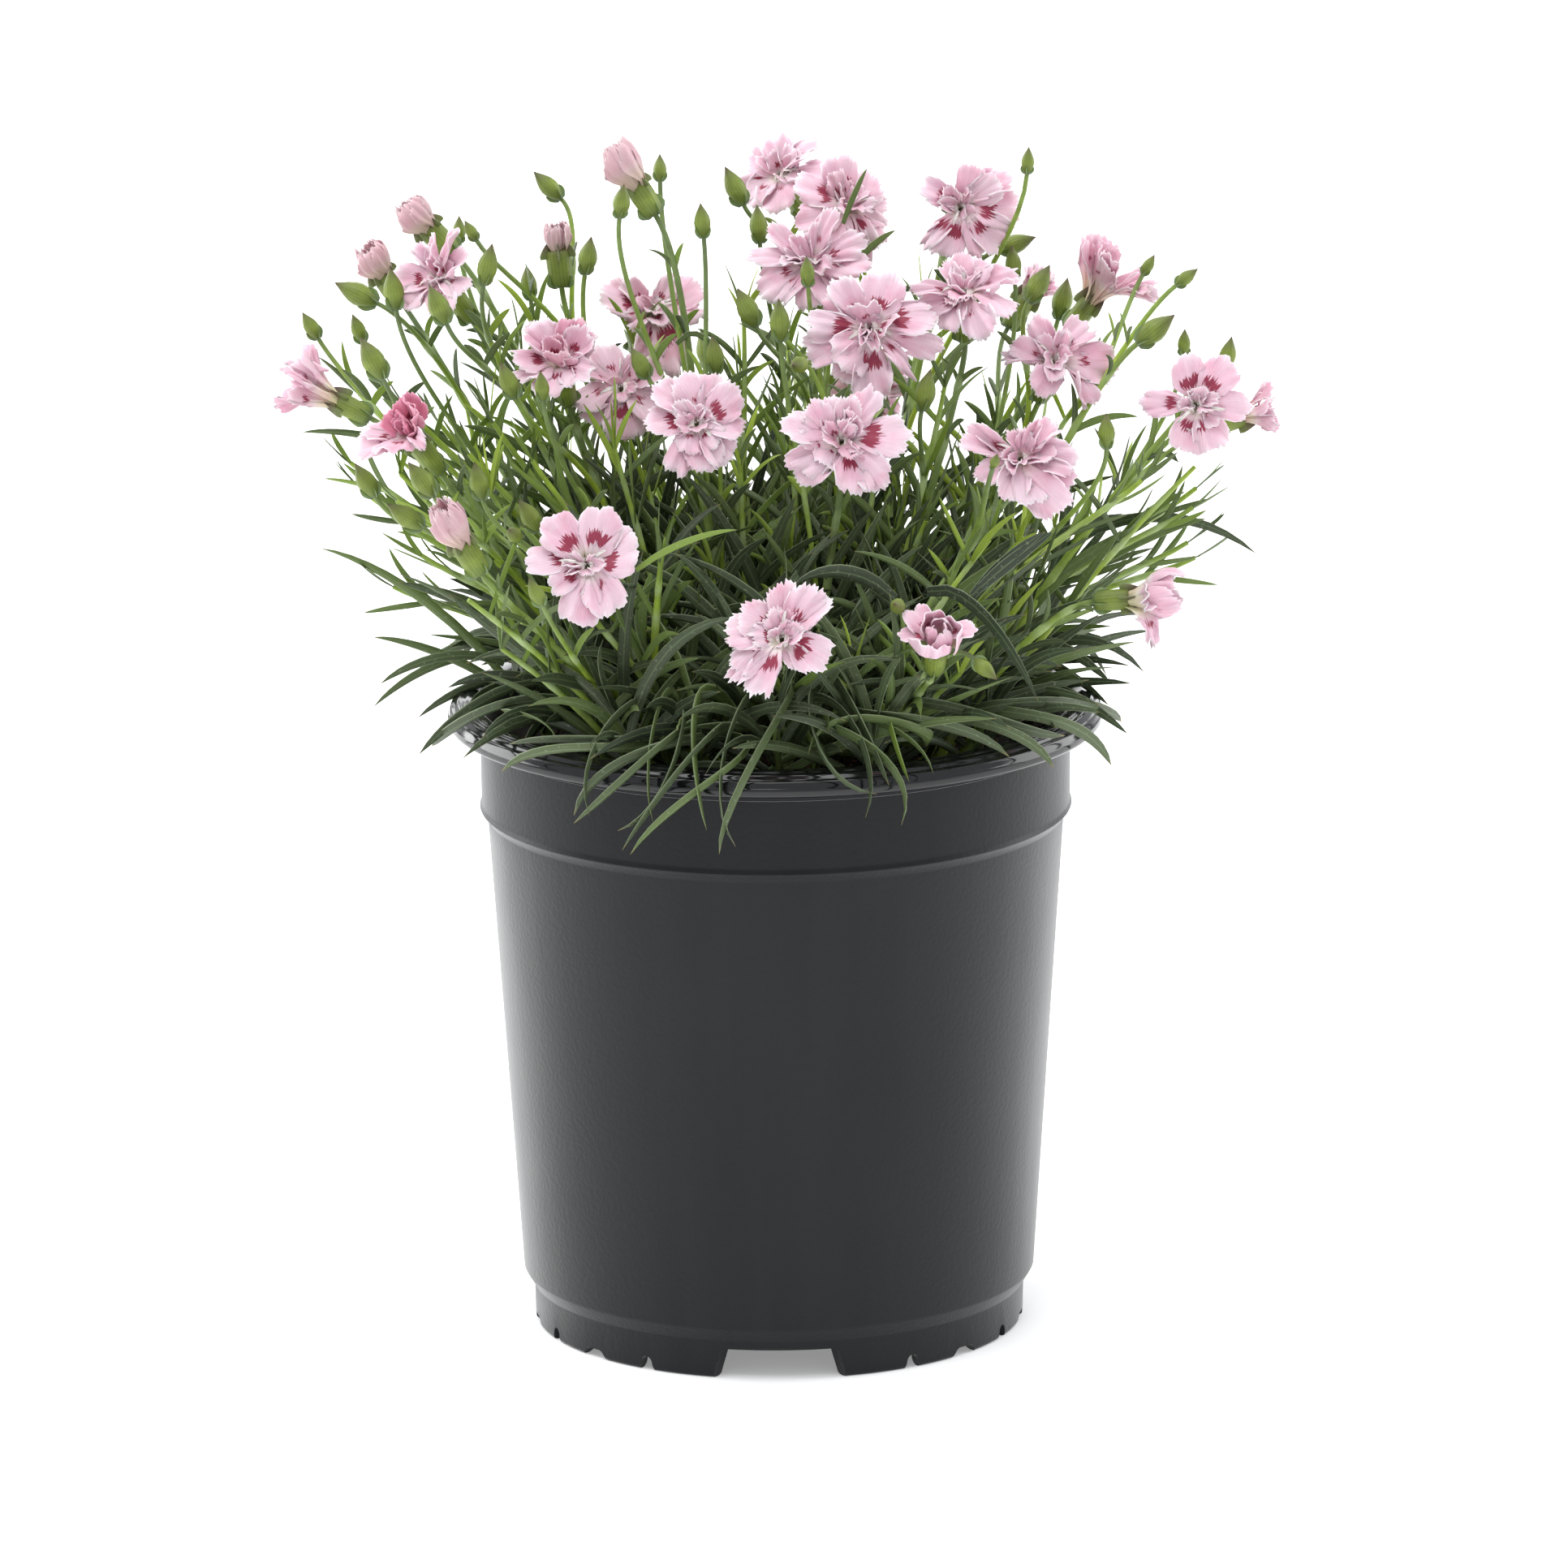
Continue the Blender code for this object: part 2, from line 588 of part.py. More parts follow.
def faces_between(low, high, level):
    """The faces that join two rings of point numbers, of which each has as many to every petal.
    Where they have as many, each point meets its like. Otherwise a point of the one meets a petal's
    points of the other: the petal before it where their first points are level."""
    if len(low) == len(high):
        wrapped = list(zip(low, high)) + [(low[0], high[0])]
        return [(a, c, d, b) for (a, b), (c, d) in zip(wrapped, wrapped[1:])]
    few, many = (low, high) if len(low) < len(high) else (high, low)
    step = len(many) // PETALS
    faces = []
    for k in range(PETALS):
        fan = [many[((k - level) * step + i) % len(many)] for i in range(step + 1)]
        faces += [(few[k], a, b) for a, b in zip(fan, fan[1:])]
        faces.append((few[k], fan[-1], few[(k + 1) % PETALS]))
    return faces


def bloom_mesh(name, head, draw):
    """A bloom as one loft: from its foot in the calyx, out under the outer petals, back over them,
    and out and back again over the inner ones."""
    reach = head["size"] / 2
    outer_cone, inner_cone, inner_share = LAYERS[head["kind"]]
    side, other = square_to(head["axis"])
    foot = head["mouth"] + GAP * head["axis"]
    neck = 0.78 * head["width"]
    thin = PETAL_THICKNESS

    def place(turn, out, height):
        turn = math.radians(turn)
        return foot + out * (math.cos(turn) * side + math.sin(turn) * other) + height * head["axis"]

    def plain_ring(out, height):
        return [(360.0 * k / PETALS, out, height) for k in range(PETALS)]

    def raised(rim, lift, inward=0.0):
        return [(turn, out - inward, height + lift) for turn, out, height in rim]

    rim = ring_of_petals(reach, outer_cone * reach, OUTER_TEETH, draw, 0.0)
    top = OUTER_LIFT + thin
    spots = [plain_ring(neck, 0.0), plain_ring(neck, 1.3), raised(rim, OUTER_LIFT), raised(rim, top)]
    if inner_cone:
        inner_reach = inner_share * reach
        inner = ring_of_petals(inner_reach, inner_cone * inner_reach, INNER_TEETH, draw, 36.0)
        spots.append(plain_ring(THROAT_REACH * reach, 2.4 + outer_cone * THROAT_REACH * reach))
        spots += [raised(inner, INNER_LIFT), raised(inner, INNER_LIFT + 0.3 * thin, thin)]
        top = INNER_LIFT
    points, rings = [], []
    for ring in spots:
        rings.append(list(range(len(points), len(points) + len(ring))))
        points += [place(*spot) for spot in ring]
    faces = [tuple(rings[0])]
    for i in range(len(rings) - 1):
        level = abs(spots[i][0][0] - spots[i + 1][0][0]) < 1.0
        faces += faces_between(rings[i], rings[i + 1], level)
    points.append(place(0, 0, top + 0.1 * reach))
    last = rings[-1] + rings[-1][:1]
    faces += [(a, b, len(points) - 1) for a, b in zip(last, last[1:])]
    return mesh_of(name, points, faces)


def tip_mesh(name, head):
    """The rolled petals that show above the calyx of a bud about to open."""
    foot = head["mouth"] + GAP * head["axis"]
    length = TIP_LENGTH * head["size"]
    stations = [(foot + share * length * head["axis"], radius) for share, radius in TIP_SHAPE]
    return tube_mesh(name, stations, 6)


def add_wide_slot(shaped, matrix):
    """Adds to a bmesh the plug that cuts a wide slot, which opens outwards and towards its foot."""
    corners = []
    for out, (foot, top) in zip((-0.5, 0.5), WIDE_SLOT_SPREAD):
        high, low = WIDE_SLOT_HEIGHT, -SLOT_HEIGHT
        outline = ((-foot, 0.0), (-top, high), (top, high), (foot, 0.0), (foot, low), (-foot, low))
        corners += [(out * SLOT_DEPTH, across, height) for across, height in outline]
    points = [shaped.verts.new(matrix @ (Vector(corner) * MM)) for corner in corners]
    inside, outside = points[:6], points[6:]
    shaped.faces.new(inside)
    shaped.faces.new(outside[::-1])
    for i in range(6):
        j = (i + 1) % 6
        shaped.faces.new((inside[i], outside[i], outside[j], inside[j]))


def add_pot(into, cutters, finish):
    """A blown pot: a rolled rim, an upright band, a tapered body, and a foot ring cut by drain slots."""
    inner = BAND_RADIUS - WALL
    floor = FOOT_HEIGHT - DISH
    profile = (
        (0.0, floor + 1.5), (FOOT_RADIUS - 1.6, floor + 1.5), (BODY_FOOT_RADIUS - WALL, FOOT_HEIGHT + 4.0),
        (BODY_TOP_RADIUS - WALL, BAND_BOTTOM - 3.0), (inner, BAND_BOTTOM + 0.5), (inner, RIM_TOP - 4.0),
        (inner + 3.0, RIM_TOP), (RIM_RADIUS - 2.0, RIM_TOP - 0.8), (RIM_RADIUS, RIM_TOP - 3.6),
        (RIM_RADIUS - 0.7, RIM_TOP - 5.9), (BAND_RADIUS + 1.2, RIM_TOP - 4.6), (BAND_RADIUS, RIM_TOP - 7.0),
        (BAND_RADIUS - 0.4, BAND_BOTTOM), (BODY_TOP_RADIUS, BAND_BOTTOM - 2.6),
        (BODY_FOOT_RADIUS, FOOT_HEIGHT + 3.6), (FOOT_RADIUS + 0.2, FOOT_HEIGHT), (FOOT_RADIUS - 1.0, 0.0),
        (FOOT_RADIUS - 3.2, 0.0), (FOOT_RADIUS - 3.0, floor), (0.0, floor),
    )
    pot = turned("nursery_pot", profile[::-1], into)
    pot.data.materials.append(finish)
    shaped = bmesh.new()
    for slot in range(SLOT_PLACES):
        turn = Matrix.Rotation(2 * math.pi * (slot / SLOT_PLACES - 0.25), 4, "Z")
        out = turn @ Matrix.Translation(((FOOT_RADIUS - 2) * MM, 0, 0))
        if slot in WIDE_SLOTS:
            add_wide_slot(shaped, out)
        elif slot not in NO_SLOT:
            lie = Matrix.Rotation(math.pi / 2, 4, "Y")
            size = Matrix.Diagonal((SLOT_HEIGHT, 0.5 * SLOT_WIDTH, 1, 1))
            bmesh.ops.create_cone(
                shaped, cap_ends=True, segments=6, radius1=MM, radius2=MM, depth=SLOT_DEPTH * MM,
                matrix=out @ lie @ size,
            )
    cut_by(pot, shaped, "drain_slots", cutters)


def add_mix(into, cutters, finish, sprays):
    """The potting mix, which fills the pot, with a plain hole for each stem and one for the crown."""
    clear = GAP / math.cos(math.pi / POT_SIDES)
    edge = BAND_RADIUS - WALL - clear
    profile = (
        (0.0, SOIL_TOP + SOIL_MOUND), (45.0, SOIL_TOP + 0.5 * SOIL_MOUND), (edge, SOIL_TOP - 2.0),
        (edge, BAND_BOTTOM + 1.0), (BODY_TOP_RADIUS - WALL - clear, BAND_BOTTOM - 2.8),
        (BODY_FOOT_RADIUS - WALL - clear, FOOT_HEIGHT + 4.2), (FOOT_RADIUS - 2.4, FOOT_HEIGHT),
        (0.0, FOOT_HEIGHT),
    )
    mix = turned("potting_mix", profile, into)
    mix.data.materials.append(finish)
    stands = [(*heads[0]["curve"][0][:2], 4, STEM_HOLE_RADIUS) for heads in sprays]
    stands.append((0.0, 0.0, 6, CROWN_RADIUS + GAP / math.cos(math.pi / 6)))
    shaped = bmesh.new()
    for x, y, sides, radius in stands:
        spot = Matrix.Translation(Vector((x, y, SOIL_TOP)) * MM)
        bmesh.ops.create_cone(
            shaped, cap_ends=True, segments=sides, radius1=radius * MM, radius2=radius * MM,
            depth=2 * (STEM_FOOT_DEPTH + GAP) * MM, matrix=spot,
        )
    cut_by(mix, shaped, "stem_holes", cutters)


def crown_mesh():
    shaped = bmesh.new()
    bmesh.ops.create_cone(
        shaped, cap_ends=True, segments=6, radius1=CROWN_RADIUS * MM, radius2=0.6 * CROWN_RADIUS * MM,
        depth=(CROWN_HEIGHT + STEM_FOOT_DEPTH) * MM,
        matrix=Matrix.Translation((0, 0, (SOIL_TOP + 0.5 * (CROWN_HEIGHT - STEM_FOOT_DEPTH)) * MM)),
    )
    mesh = bpy.data.meshes.new("crown")
    shaped.to_mesh(mesh)
    shaped.free()
    return tidied(mesh)


def add_foliage(into, finish, shoots, pairs):
    """The crown, the leafy shoots and their leaves, all in one piece."""
    parts = [crown_mesh()]
    for place in shoots:
        radii = (SHOOT_RADIUS, SHOOT_RADIUS, SHOOT_RADIUS, 0.7 * SHOOT_RADIUS)
        parts.append(tube_mesh("shoot", list(zip(arm_path(place), radii)), 4))
    parts += [blade_pair_mesh("leaves", pair, (0.5,)) for pair in pairs]
    fused("foliage", parts, into, finish)


def add_sprays(into, finishes, sprays, stem_pairs):
    """Each spray as one green piece, and the petals of each of its blooms as another."""
    draw = random.Random(SEED + 2)
    bloom = 0
    low, high = STEM_RADIUS_LOW, STEM_RADIUS_HIGH
    for number, heads in enumerate(sprays):
        parts = [stem_mesh("main", heads[0], (low, low, high, high), MAIN_STEM_STATIONS, 4)]
        parts += [stem_mesh("branch", head, (BRANCH_RADIUS,) * 2, BRANCH_STATIONS, 4) for head in heads[1:]]
        parts += [blade_pair_mesh("leaves", pair, (0.5,)) for owner, pair in stem_pairs if owner == number]
        fused(f"spray_{number + 1:02d}", parts, into, finishes["stem"])
        for head in heads:
            if head["kind"] == "bud":
                continue
            bloom += 1
            if head["kind"] == "tip":
                object_of(f"petal_tip_{bloom:02d}", tip_mesh("tip", head), into, finishes["petal"])
            else:
                object_of(f"bloom_{bloom:02d}", bloom_mesh("bloom", head, draw), into, finishes["petal"])


def main():
    empty_scene()
    plant = collection("potted_dianthus")
    cutters = collection("cutters")
    finishes = {
        "pot": material("black_polyethylene", COLOURS["pot"], 0.42),
        "mix": material("potting_mix", COLOURS["mix"], 0.95),
        "leaf": material("dianthus_leaf", COLOURS["leaf"], 0.6),
        "stem": material("dianthus_stem", COLOURS["stem"], 0.55),
        "petal": material("dianthus_petal", COLOURS["petal"], 0.6),
    }
    sprays = plan_sprays()
    balls = balls_of(sprays)
    shoots = plan_shoots(balls)
    stem_pairs, balls = plan_stem_leaves(sprays, balls)
    pairs = plan_foliage(shoots, balls)

    add_pot(plant, cutters, finishes["pot"])
    add_mix(plant, cutters, finishes["mix"], sprays)
    add_foliage(plant, finishes["leaf"], shoots, pairs)
    add_sprays(plant, finishes, sprays, stem_pairs)
    leaves = sum(map(len, pairs))
    print(len(stem_pairs), "pairs of stem leaves,", leaves, "leaves on", len(shoots), "shoots")


main()
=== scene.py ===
# %% [markdown]
# # A potted dianthus, dressed for its photograph
# The object is a pink dianthus in a black blow-moulded nursery pot: narrow blue-green leaves in a
# mound, some thirty thin flowering stems, and pale pink toothed blooms with crimson marks. The packed
# CAD model gives the place and size of every part. This lesson keeps to those places and gives each
# part its real form: pleated petals, keeled leaves, swollen stem joints, a rolled rim. The first cell
# loads the CAD model.

# %% Load the CAD model
import math
import random

import bmesh
import bpy
import numpy as np
from mathutils import Matrix, Vector


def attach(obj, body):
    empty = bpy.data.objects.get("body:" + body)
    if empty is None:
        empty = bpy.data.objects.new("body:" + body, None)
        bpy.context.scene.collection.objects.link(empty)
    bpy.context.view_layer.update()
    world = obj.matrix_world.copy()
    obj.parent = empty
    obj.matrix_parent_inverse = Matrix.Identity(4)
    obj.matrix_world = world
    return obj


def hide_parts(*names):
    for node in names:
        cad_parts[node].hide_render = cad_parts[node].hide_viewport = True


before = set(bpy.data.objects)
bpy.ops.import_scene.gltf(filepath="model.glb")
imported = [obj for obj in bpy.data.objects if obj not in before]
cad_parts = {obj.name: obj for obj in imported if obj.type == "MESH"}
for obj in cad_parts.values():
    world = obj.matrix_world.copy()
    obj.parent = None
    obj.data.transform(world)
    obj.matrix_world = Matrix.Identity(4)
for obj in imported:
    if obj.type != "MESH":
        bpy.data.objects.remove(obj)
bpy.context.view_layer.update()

MM = 0.001

# %% [markdown]
# ## The camera
# The photograph was taken with a long lens from a little above the rim. The ellipses of the rim and
# of the foot give the height of the lens: it looks down by about 14 degrees from 3.8 m away. A long
# lens this far off keeps the pot's sides almost parallel, as they look in the photograph.

# %% Set the camera
LOOK_DOWN = 14.18
ROLL = -0.40


def object_of(name, data):
    made = bpy.data.objects.new(name, data)
    bpy.context.scene.collection.objects.link(made)
    return made


view_data = bpy.data.cameras.new("long_lens")
view_data.lens = 356.5
view_data.clip_end = 100.0
camera = object_of("long_lens", view_data)
camera.location = (0.0021, -3.7928, 1.0965)
turned_down = Matrix.Rotation(math.radians(90 - LOOK_DOWN), 4, "X")
camera.rotation_euler = (turned_down @ Matrix.Rotation(math.radians(ROLL), 4, "Z")).to_euler()
bpy.context.scene.camera = camera
print("camera at", tuple(round(c, 3) for c in camera.location))

# %% [markdown]
# ## Two small helpers for materials
# Colours are written as the sRGB hex values that an image editor shows, and Blender's shaders take
# linear light, so one function turns the first into the second. The other adds a node: `feeds` gives
# each input a number, the node that drives it or one output of that node, and the named settings are
# the node's own. Its inner part also sets a node that is already there.

# %% Colour and node helpers
def linear(hex_colour):
    channels = [int(hex_colour[i:i + 2], 16) / 255 for i in (1, 3, 5)]
    return (*[c / 12.92 if c <= 0.04045 else ((c + 0.055) / 1.055) ** 2.4 for c in channels], 1.0)


def feed_node(tree, node, feeds):
    """Sets a node's inputs. A node given as a feed stands for the first of its outputs that is in use."""
    for socket, feed in feeds.items():
        if isinstance(feed, bpy.types.Node):
            feed = next(output for output in feed.outputs if output.enabled)
        if isinstance(feed, bpy.types.NodeSocket):
            tree.links.new(feed, node.inputs[socket])
        else:
            node.inputs[socket].default_value = feed


def add_node(tree, kind, feeds=None, **settings):
    node = tree.nodes.new(kind)
    for name, value in settings.items():
        setattr(node, name, value)
    feed_node(tree, node, feeds or {})
    return node


def new_finish(name):
    """A new material with its node tree and its Principled shader."""
    finish = bpy.data.materials.new(name)
    finish.use_nodes = True
    return finish, finish.node_tree, finish.node_tree.nodes["Principled BSDF"]


def set_stops(ramp, stops):
    """Gives a Color Ramp its stops, as (place, hex colour) pairs."""
    elements = ramp.color_ramp.elements
    while len(elements) < len(stops):
        elements.new(0.5)
    for element, (place, colour) in zip(elements, stops):
        element.position = place
        element.color = linear(colour)


print("helpers ready")

# %% [markdown]
# ## The floor and the light
# The photograph is a bright product picture: white sweep, white walls, and large soft lights. A pale
# matte floor, an even pale sky and four broad area lights give the same: soft light on the petals,
# a light edge down both sides of the black pot, and a short contact shadow at its foot.

# %% Lay the floor
PAPER_GLOW = 0.26  # the paper is lit from behind too, which keeps the shadows on it faint
floor_finish, tree, shader = new_finish("pale_studio_paper")
WHITE = (1.0, 1.0, 1.0, 1.0)
feed_node(tree, shader, {"Roughness": 0.9, "Emission Color": WHITE, "Emission Strength": PAPER_GLOW})
paper_grain = add_node(tree, "ShaderNodeTexNoise", {"Scale": 400.0, "Detail": 2.0})
paper_tone = add_node(tree, "ShaderNodeValToRGB", {0: paper_grain})
set_stops(paper_tone, ((0.3, "#f6f6f6"), (0.7, "#fbfbfb")))
feed_node(tree, shader, {"Base Color": paper_tone})
FLOOR_HALF = 9.0
floor_mesh = bpy.data.meshes.new("studio_floor")
corners = [(x * FLOOR_HALF, y * FLOOR_HALF, 0) for x, y in ((-1, -1), (1, -1), (1, 1), (-1, 1))]
floor_mesh.from_pydata(corners, [], [(0, 1, 2, 3)])
floor_mesh.materials.append(floor_finish)
floor = object_of("studio_floor", floor_mesh)
print("floor", 2 * FLOOR_HALF, "m across")

# %% Light the scene
SKY_STRENGTH = 0.75
sky = bpy.data.worlds.new("white_studio")
sky.use_nodes = True
glow = sky.node_tree.nodes["Background"]
feed_node(sky.node_tree, glow, {"Color": linear("#f7f9fc"), "Strength": SKY_STRENGTH})
bpy.context.scene.world = sky
bpy.context.scene.view_settings.view_transform = "Standard"
PLANT_MIDDLE = Vector((0, 0, 0.16))
SOFT_LIGHTS = (  # name, place, size in metres, watts
    ("top_softbox", (-0.25, -0.35, 1.9), 1.6, 26.0),
    ("left_softbox", (-1.75, 1.0, 0.8), 1.4, 30.0),
    ("right_softbox", (1.9, 0.7, 0.8), 1.4, 20.0),
    ("back_softbox", (0.0, 2.2, 1.0), 1.6, 14.0),
)
for name, place, size, watts in SOFT_LIGHTS:
    lamp = bpy.data.lights.new(name, "AREA")
    lamp.size = size
    lamp.energy = watts
    holder = object_of(name, lamp)
    holder.location = place
    holder.rotation_euler = (PLANT_MIDDLE - Vector(place)).to_track_quat("-Z", "Y").to_euler()
print("lights:", ", ".join(name for name, *_ in SOFT_LIGHTS))

# %% [markdown]
# ## Black polyethylene for the pot
# The pot is blow-moulded high-density polyethylene with carbon black: a charcoal grey that is never
# fully black. The walls are matte, where the mould was sandblasted, with a fine leathery grain and
# faint upright flow marks, and they grow paler towards the sides, which a sheen gives. The rolled rim
# is polished, so it has a finish of its own. Object coordinates are in metres here, so a pattern's
# scale is 1 / (its size in metres): the grain's 1.2 mm shows as bumps about 0.7 mm apart.

# %% Make the plastic of the wall and of the rim
pot_finish, tree, shader = new_finish("black_polyethylene")
place = add_node(tree, "ShaderNodeTexCoord").outputs["Object"]
leather = add_node(tree, "ShaderNodeTexNoise", {"Vector": place, "Scale": 1 / 0.0012, "Detail": 2.0})
upright = add_node(tree, "ShaderNodeMapping", {"Vector": place, "Scale": (1.0, 1.0, 0.06)})
flow = add_node(tree, "ShaderNodeTexNoise", {"Vector": upright, "Scale": 1 / 0.009, "Detail": 3.0})
cloud = add_node(tree, "ShaderNodeTexNoise", {"Vector": place, "Scale": 1 / 0.05, "Detail": 3.0})
worn = add_node(tree, "ShaderNodeMath", {0: flow, 1: cloud}, operation="ADD")
tone = add_node(tree, "ShaderNodeMapRange", {"Value": worn, "From Min": 0.7, "From Max": 1.3})
charcoal = add_node(
    tree, "ShaderNodeMix", {0: tone, 6: linear("#111214"), 7: linear("#191a1d")}, data_type="RGBA"
)
matte = add_node(
    tree, "ShaderNodeMapRange",
    {"Value": worn, "From Min": 0.7, "From Max": 1.3, "To Min": 0.36, "To Max": 0.46},
)
grain = add_node(tree, "ShaderNodeBump", {"Height": leather, "Strength": 0.35, "Distance": 0.0002})
feed_node(
    tree, shader,
    {
        "Base Color": charcoal, "Roughness": matte, "Normal": grain, "IOR": 1.52, "Specular IOR Level": 0.2,
        "Sheen Weight": 0.55, "Sheen Roughness": 0.3,
    },
)

rim_finish, tree, shader = new_finish("polished_polyethylene_rim")
place = add_node(tree, "ShaderNodeTexCoord").outputs["Object"]
scuffs = add_node(tree, "ShaderNodeTexNoise", {"Vector": place, "Scale": 1 / 0.004, "Detail": 4.0})
jet = add_node(
    tree, "ShaderNodeMix", {0: scuffs, 6: linear("#08090a"), 7: linear("#121315")}, data_type="RGBA"
)
glossy = add_node(
    tree, "ShaderNodeMapRange",
    {"Value": scuffs, "From Min": 0.35, "From Max": 0.7, "To Min": 0.08, "To Max": 0.2},
)
ripple = add_node(tree, "ShaderNodeBump", {"Height": scuffs, "Strength": 0.06, "Distance": 0.0006})
feed_node(
    tree, shader,
    {"Base Color": jet, "Roughness": glossy, "Normal": ripple, "IOR": 1.52, "Specular IOR Level": 0.5},
)
print("made", pot_finish.name, "and", rim_finish.name)

# %% [markdown]
# ## The pot
# One wall, thin and even, goes round: foot ring, chamfer, tapered body, a small step up to the band,
# and a rolled lip. So it is drawn as a profile and turned by a Screw modifier in many steps, with the
# real roundings, where the CAD has a 32-sided one. The drain notches are cut after that: low arches
# and stepped notches in turn, and one wide gap with sloped ends at the front and one at the back.

# %% Draw the pot's profile
RIM_RADIUS = 82.5
RIM_TOP = 161.0
BAND_RADIUS = 74.3
BAND_BOTTOM = 134.0
BODY_TOP_RADIUS = 72.6
BODY_FOOT_RADIUS = 64.6
FOOT_RADIUS = 61.8
FOOT_HEIGHT = 10.0
WALL = 1.3


def arc(centre, radii, start, end, count):
    """Points on a quarter or so of an ellipse, from one angle to another, in degrees."""
    angles = [math.radians(start + (end - start) * i / (count - 1)) for i in range(count)]
    return [(centre[0] + radii[0] * math.cos(a), centre[1] + radii[1] * math.sin(a)) for a in angles]


def ridged(points, count, depth):
    """The same points with this many low ridges: every point moves up by part of a ridge's depth."""
    last = len(points) - 1
    return [
        (r, z + depth * (math.cos(2 * math.pi * count * i / last) - 1) / 2) for i, (r, z) in enumerate(points)
    ]


RIM_RIDGES = 3
RIM_RIDGE = 0.35
inner = BAND_RADIUS - WALL
outside = [
    (0.0, 8.1),
    (FOOT_RADIUS - 3.0, 8.1),
    (FOOT_RADIUS - 3.0, 0.5),
    *arc((FOOT_RADIUS - 1.9, 1.1), (1.1, 1.1), 200, 270, 3),
    *arc((FOOT_RADIUS - 1.0, 1.1), (1.0, 1.1), 275, 360, 5),
    (FOOT_RADIUS + 0.2, FOOT_HEIGHT - 0.4),
    (FOOT_RADIUS + 0.5, FOOT_HEIGHT + 0.1),
    (BODY_FOOT_RADIUS - 0.5, FOOT_HEIGHT + 3.0),
    (BODY_FOOT_RADIUS, FOOT_HEIGHT + 3.9),
    (BODY_TOP_RADIUS - 0.05, BAND_BOTTOM - 3.0),
    (BODY_TOP_RADIUS + 0.25, BAND_BOTTOM - 2.5),
    (BAND_RADIUS - 0.35, BAND_BOTTOM - 0.9),
    (BAND_RADIUS + 0.1, BAND_BOTTOM - 0.6),
    (BAND_RADIUS + 0.25, BAND_BOTTOM - 0.25),
    (BAND_RADIUS + 0.2, BAND_BOTTOM),
    (BAND_RADIUS - 0.15, BAND_BOTTOM + 0.6),
    (BAND_RADIUS - 0.2, BAND_BOTTOM + 1.2),
    (BAND_RADIUS, RIM_TOP - 8.6),
    (BAND_RADIUS + 0.7, RIM_TOP - 8.3),
    (BAND_RADIUS + 0.8, RIM_TOP - 7.0),
    (BAND_RADIUS + 1.6, RIM_TOP - 6.0),
    (RIM_RADIUS - 2.2, RIM_TOP - 5.9),
    *arc((RIM_RADIUS - 1.4, RIM_TOP - 4.6), (1.4, 1.3), 275, 360, 6),
    *ridged(arc((RIM_RADIUS - 5.2, RIM_TOP - 4.4), (5.2, 4.4), 8, 90, 33), RIM_RIDGES, RIM_RIDGE),
    *arc((inner + 2.6, RIM_TOP - 3.2), (2.6, 3.2), 100, 180, 7),
    (inner, BAND_BOTTOM + 0.5),
    (BODY_TOP_RADIUS - WALL, BAND_BOTTOM - 3.0),
    (BODY_FOOT_RADIUS - WALL, FOOT_HEIGHT + 4.0),
    (FOOT_RADIUS - 1.6, 9.6),
    (0.0, 9.6),
]
print("the pot's profile has", len(outside), "points")

# %% Turn the pot and cut its drain notches
POT_STEPS = 192
RIM_DEPTH = 7.6  # the polished part, down from the top of the rim
NOTCHES = 22


def bake(obj):
    """Turns the object into the plain mesh that its modifiers make, and takes them off."""
    bpy.context.view_layer.update()
    graph = bpy.context.evaluated_depsgraph_get()
    obj.data = bpy.data.meshes.new_from_object(obj.evaluated_get(graph))
    obj.modifiers.clear()


def turned(name, profile, steps):
    """A closed solid turned round +Z from a profile that starts and ends on the axis."""
    mesh = bpy.data.meshes.new(name)
    mesh.from_pydata(
        [(r * MM, 0, z * MM) for r, z in profile], [(i, i + 1) for i in range(len(profile) - 1)], []
    )
    obj = object_of(name, mesh)
    screw = obj.modifiers.new("turn", "SCREW")
    screw.steps = screw.render_steps = steps
    screw.use_merge_vertices = True
    screw.merge_threshold = 0.01 * MM
    bake(obj)
    shaped = bmesh.new()
    shaped.from_mesh(obj.data)
    bmesh.ops.remove_doubles(shaped, verts=shaped.verts, dist=0.005 * MM)
    bmesh.ops.recalc_face_normals(shaped, faces=shaped.faces)
    shaped.to_mesh(obj.data)
    shaped.free()
    return obj


def prism(shaped, inside, outside, depth, matrix):
    """Adds to a bmesh a plug through the wall: its outline in (across, up) inside the wall and outside it."""
    rings = []
    for out, outline in ((-depth, inside), (depth, outside)):
        rings.append([shaped.verts.new(matrix @ (Vector((out, x, z)) * MM)) for x, z in outline])
    shaped.faces.new(rings[0])
    shaped.faces.new(rings[1][::-1])
    for i in range(len(inside)):
        j = (i + 1) % len(inside)
        shaped.faces.new((rings[0][i], rings[1][i], rings[1][j], rings[0][j]))


ARCH = [(-2.1, -3.0), (-2.1, 0.4)] + arc((0, 1.5), (1.7, 2.1), 180, 0, 9) + [(2.1, 0.4), (2.1, -3.0)]
SHALLOW = [
    (-5.2, -3.0), (-4.4, 0.2), (-3.0, 1.9), (-2.2, 2.3), (2.2, 2.3), (3.0, 1.9), (4.4, 0.2), (5.2, -3.0)
]
WIDE_INSIDE = [(-14.6, -3.0), (-13.5, 0.0), (-10.9, 7.7), (10.9, 7.7), (13.5, 0.0), (14.6, -3.0)]
WIDE_OUTSIDE = [(-22.5, -3.0), (-21.4, 0.0), (-18.9, 7.7), (18.9, 7.7), (21.4, 0.0), (22.5, -3.0)]
pot = turned("turned_pot", outside, POT_STEPS)
shaped = bmesh.new()
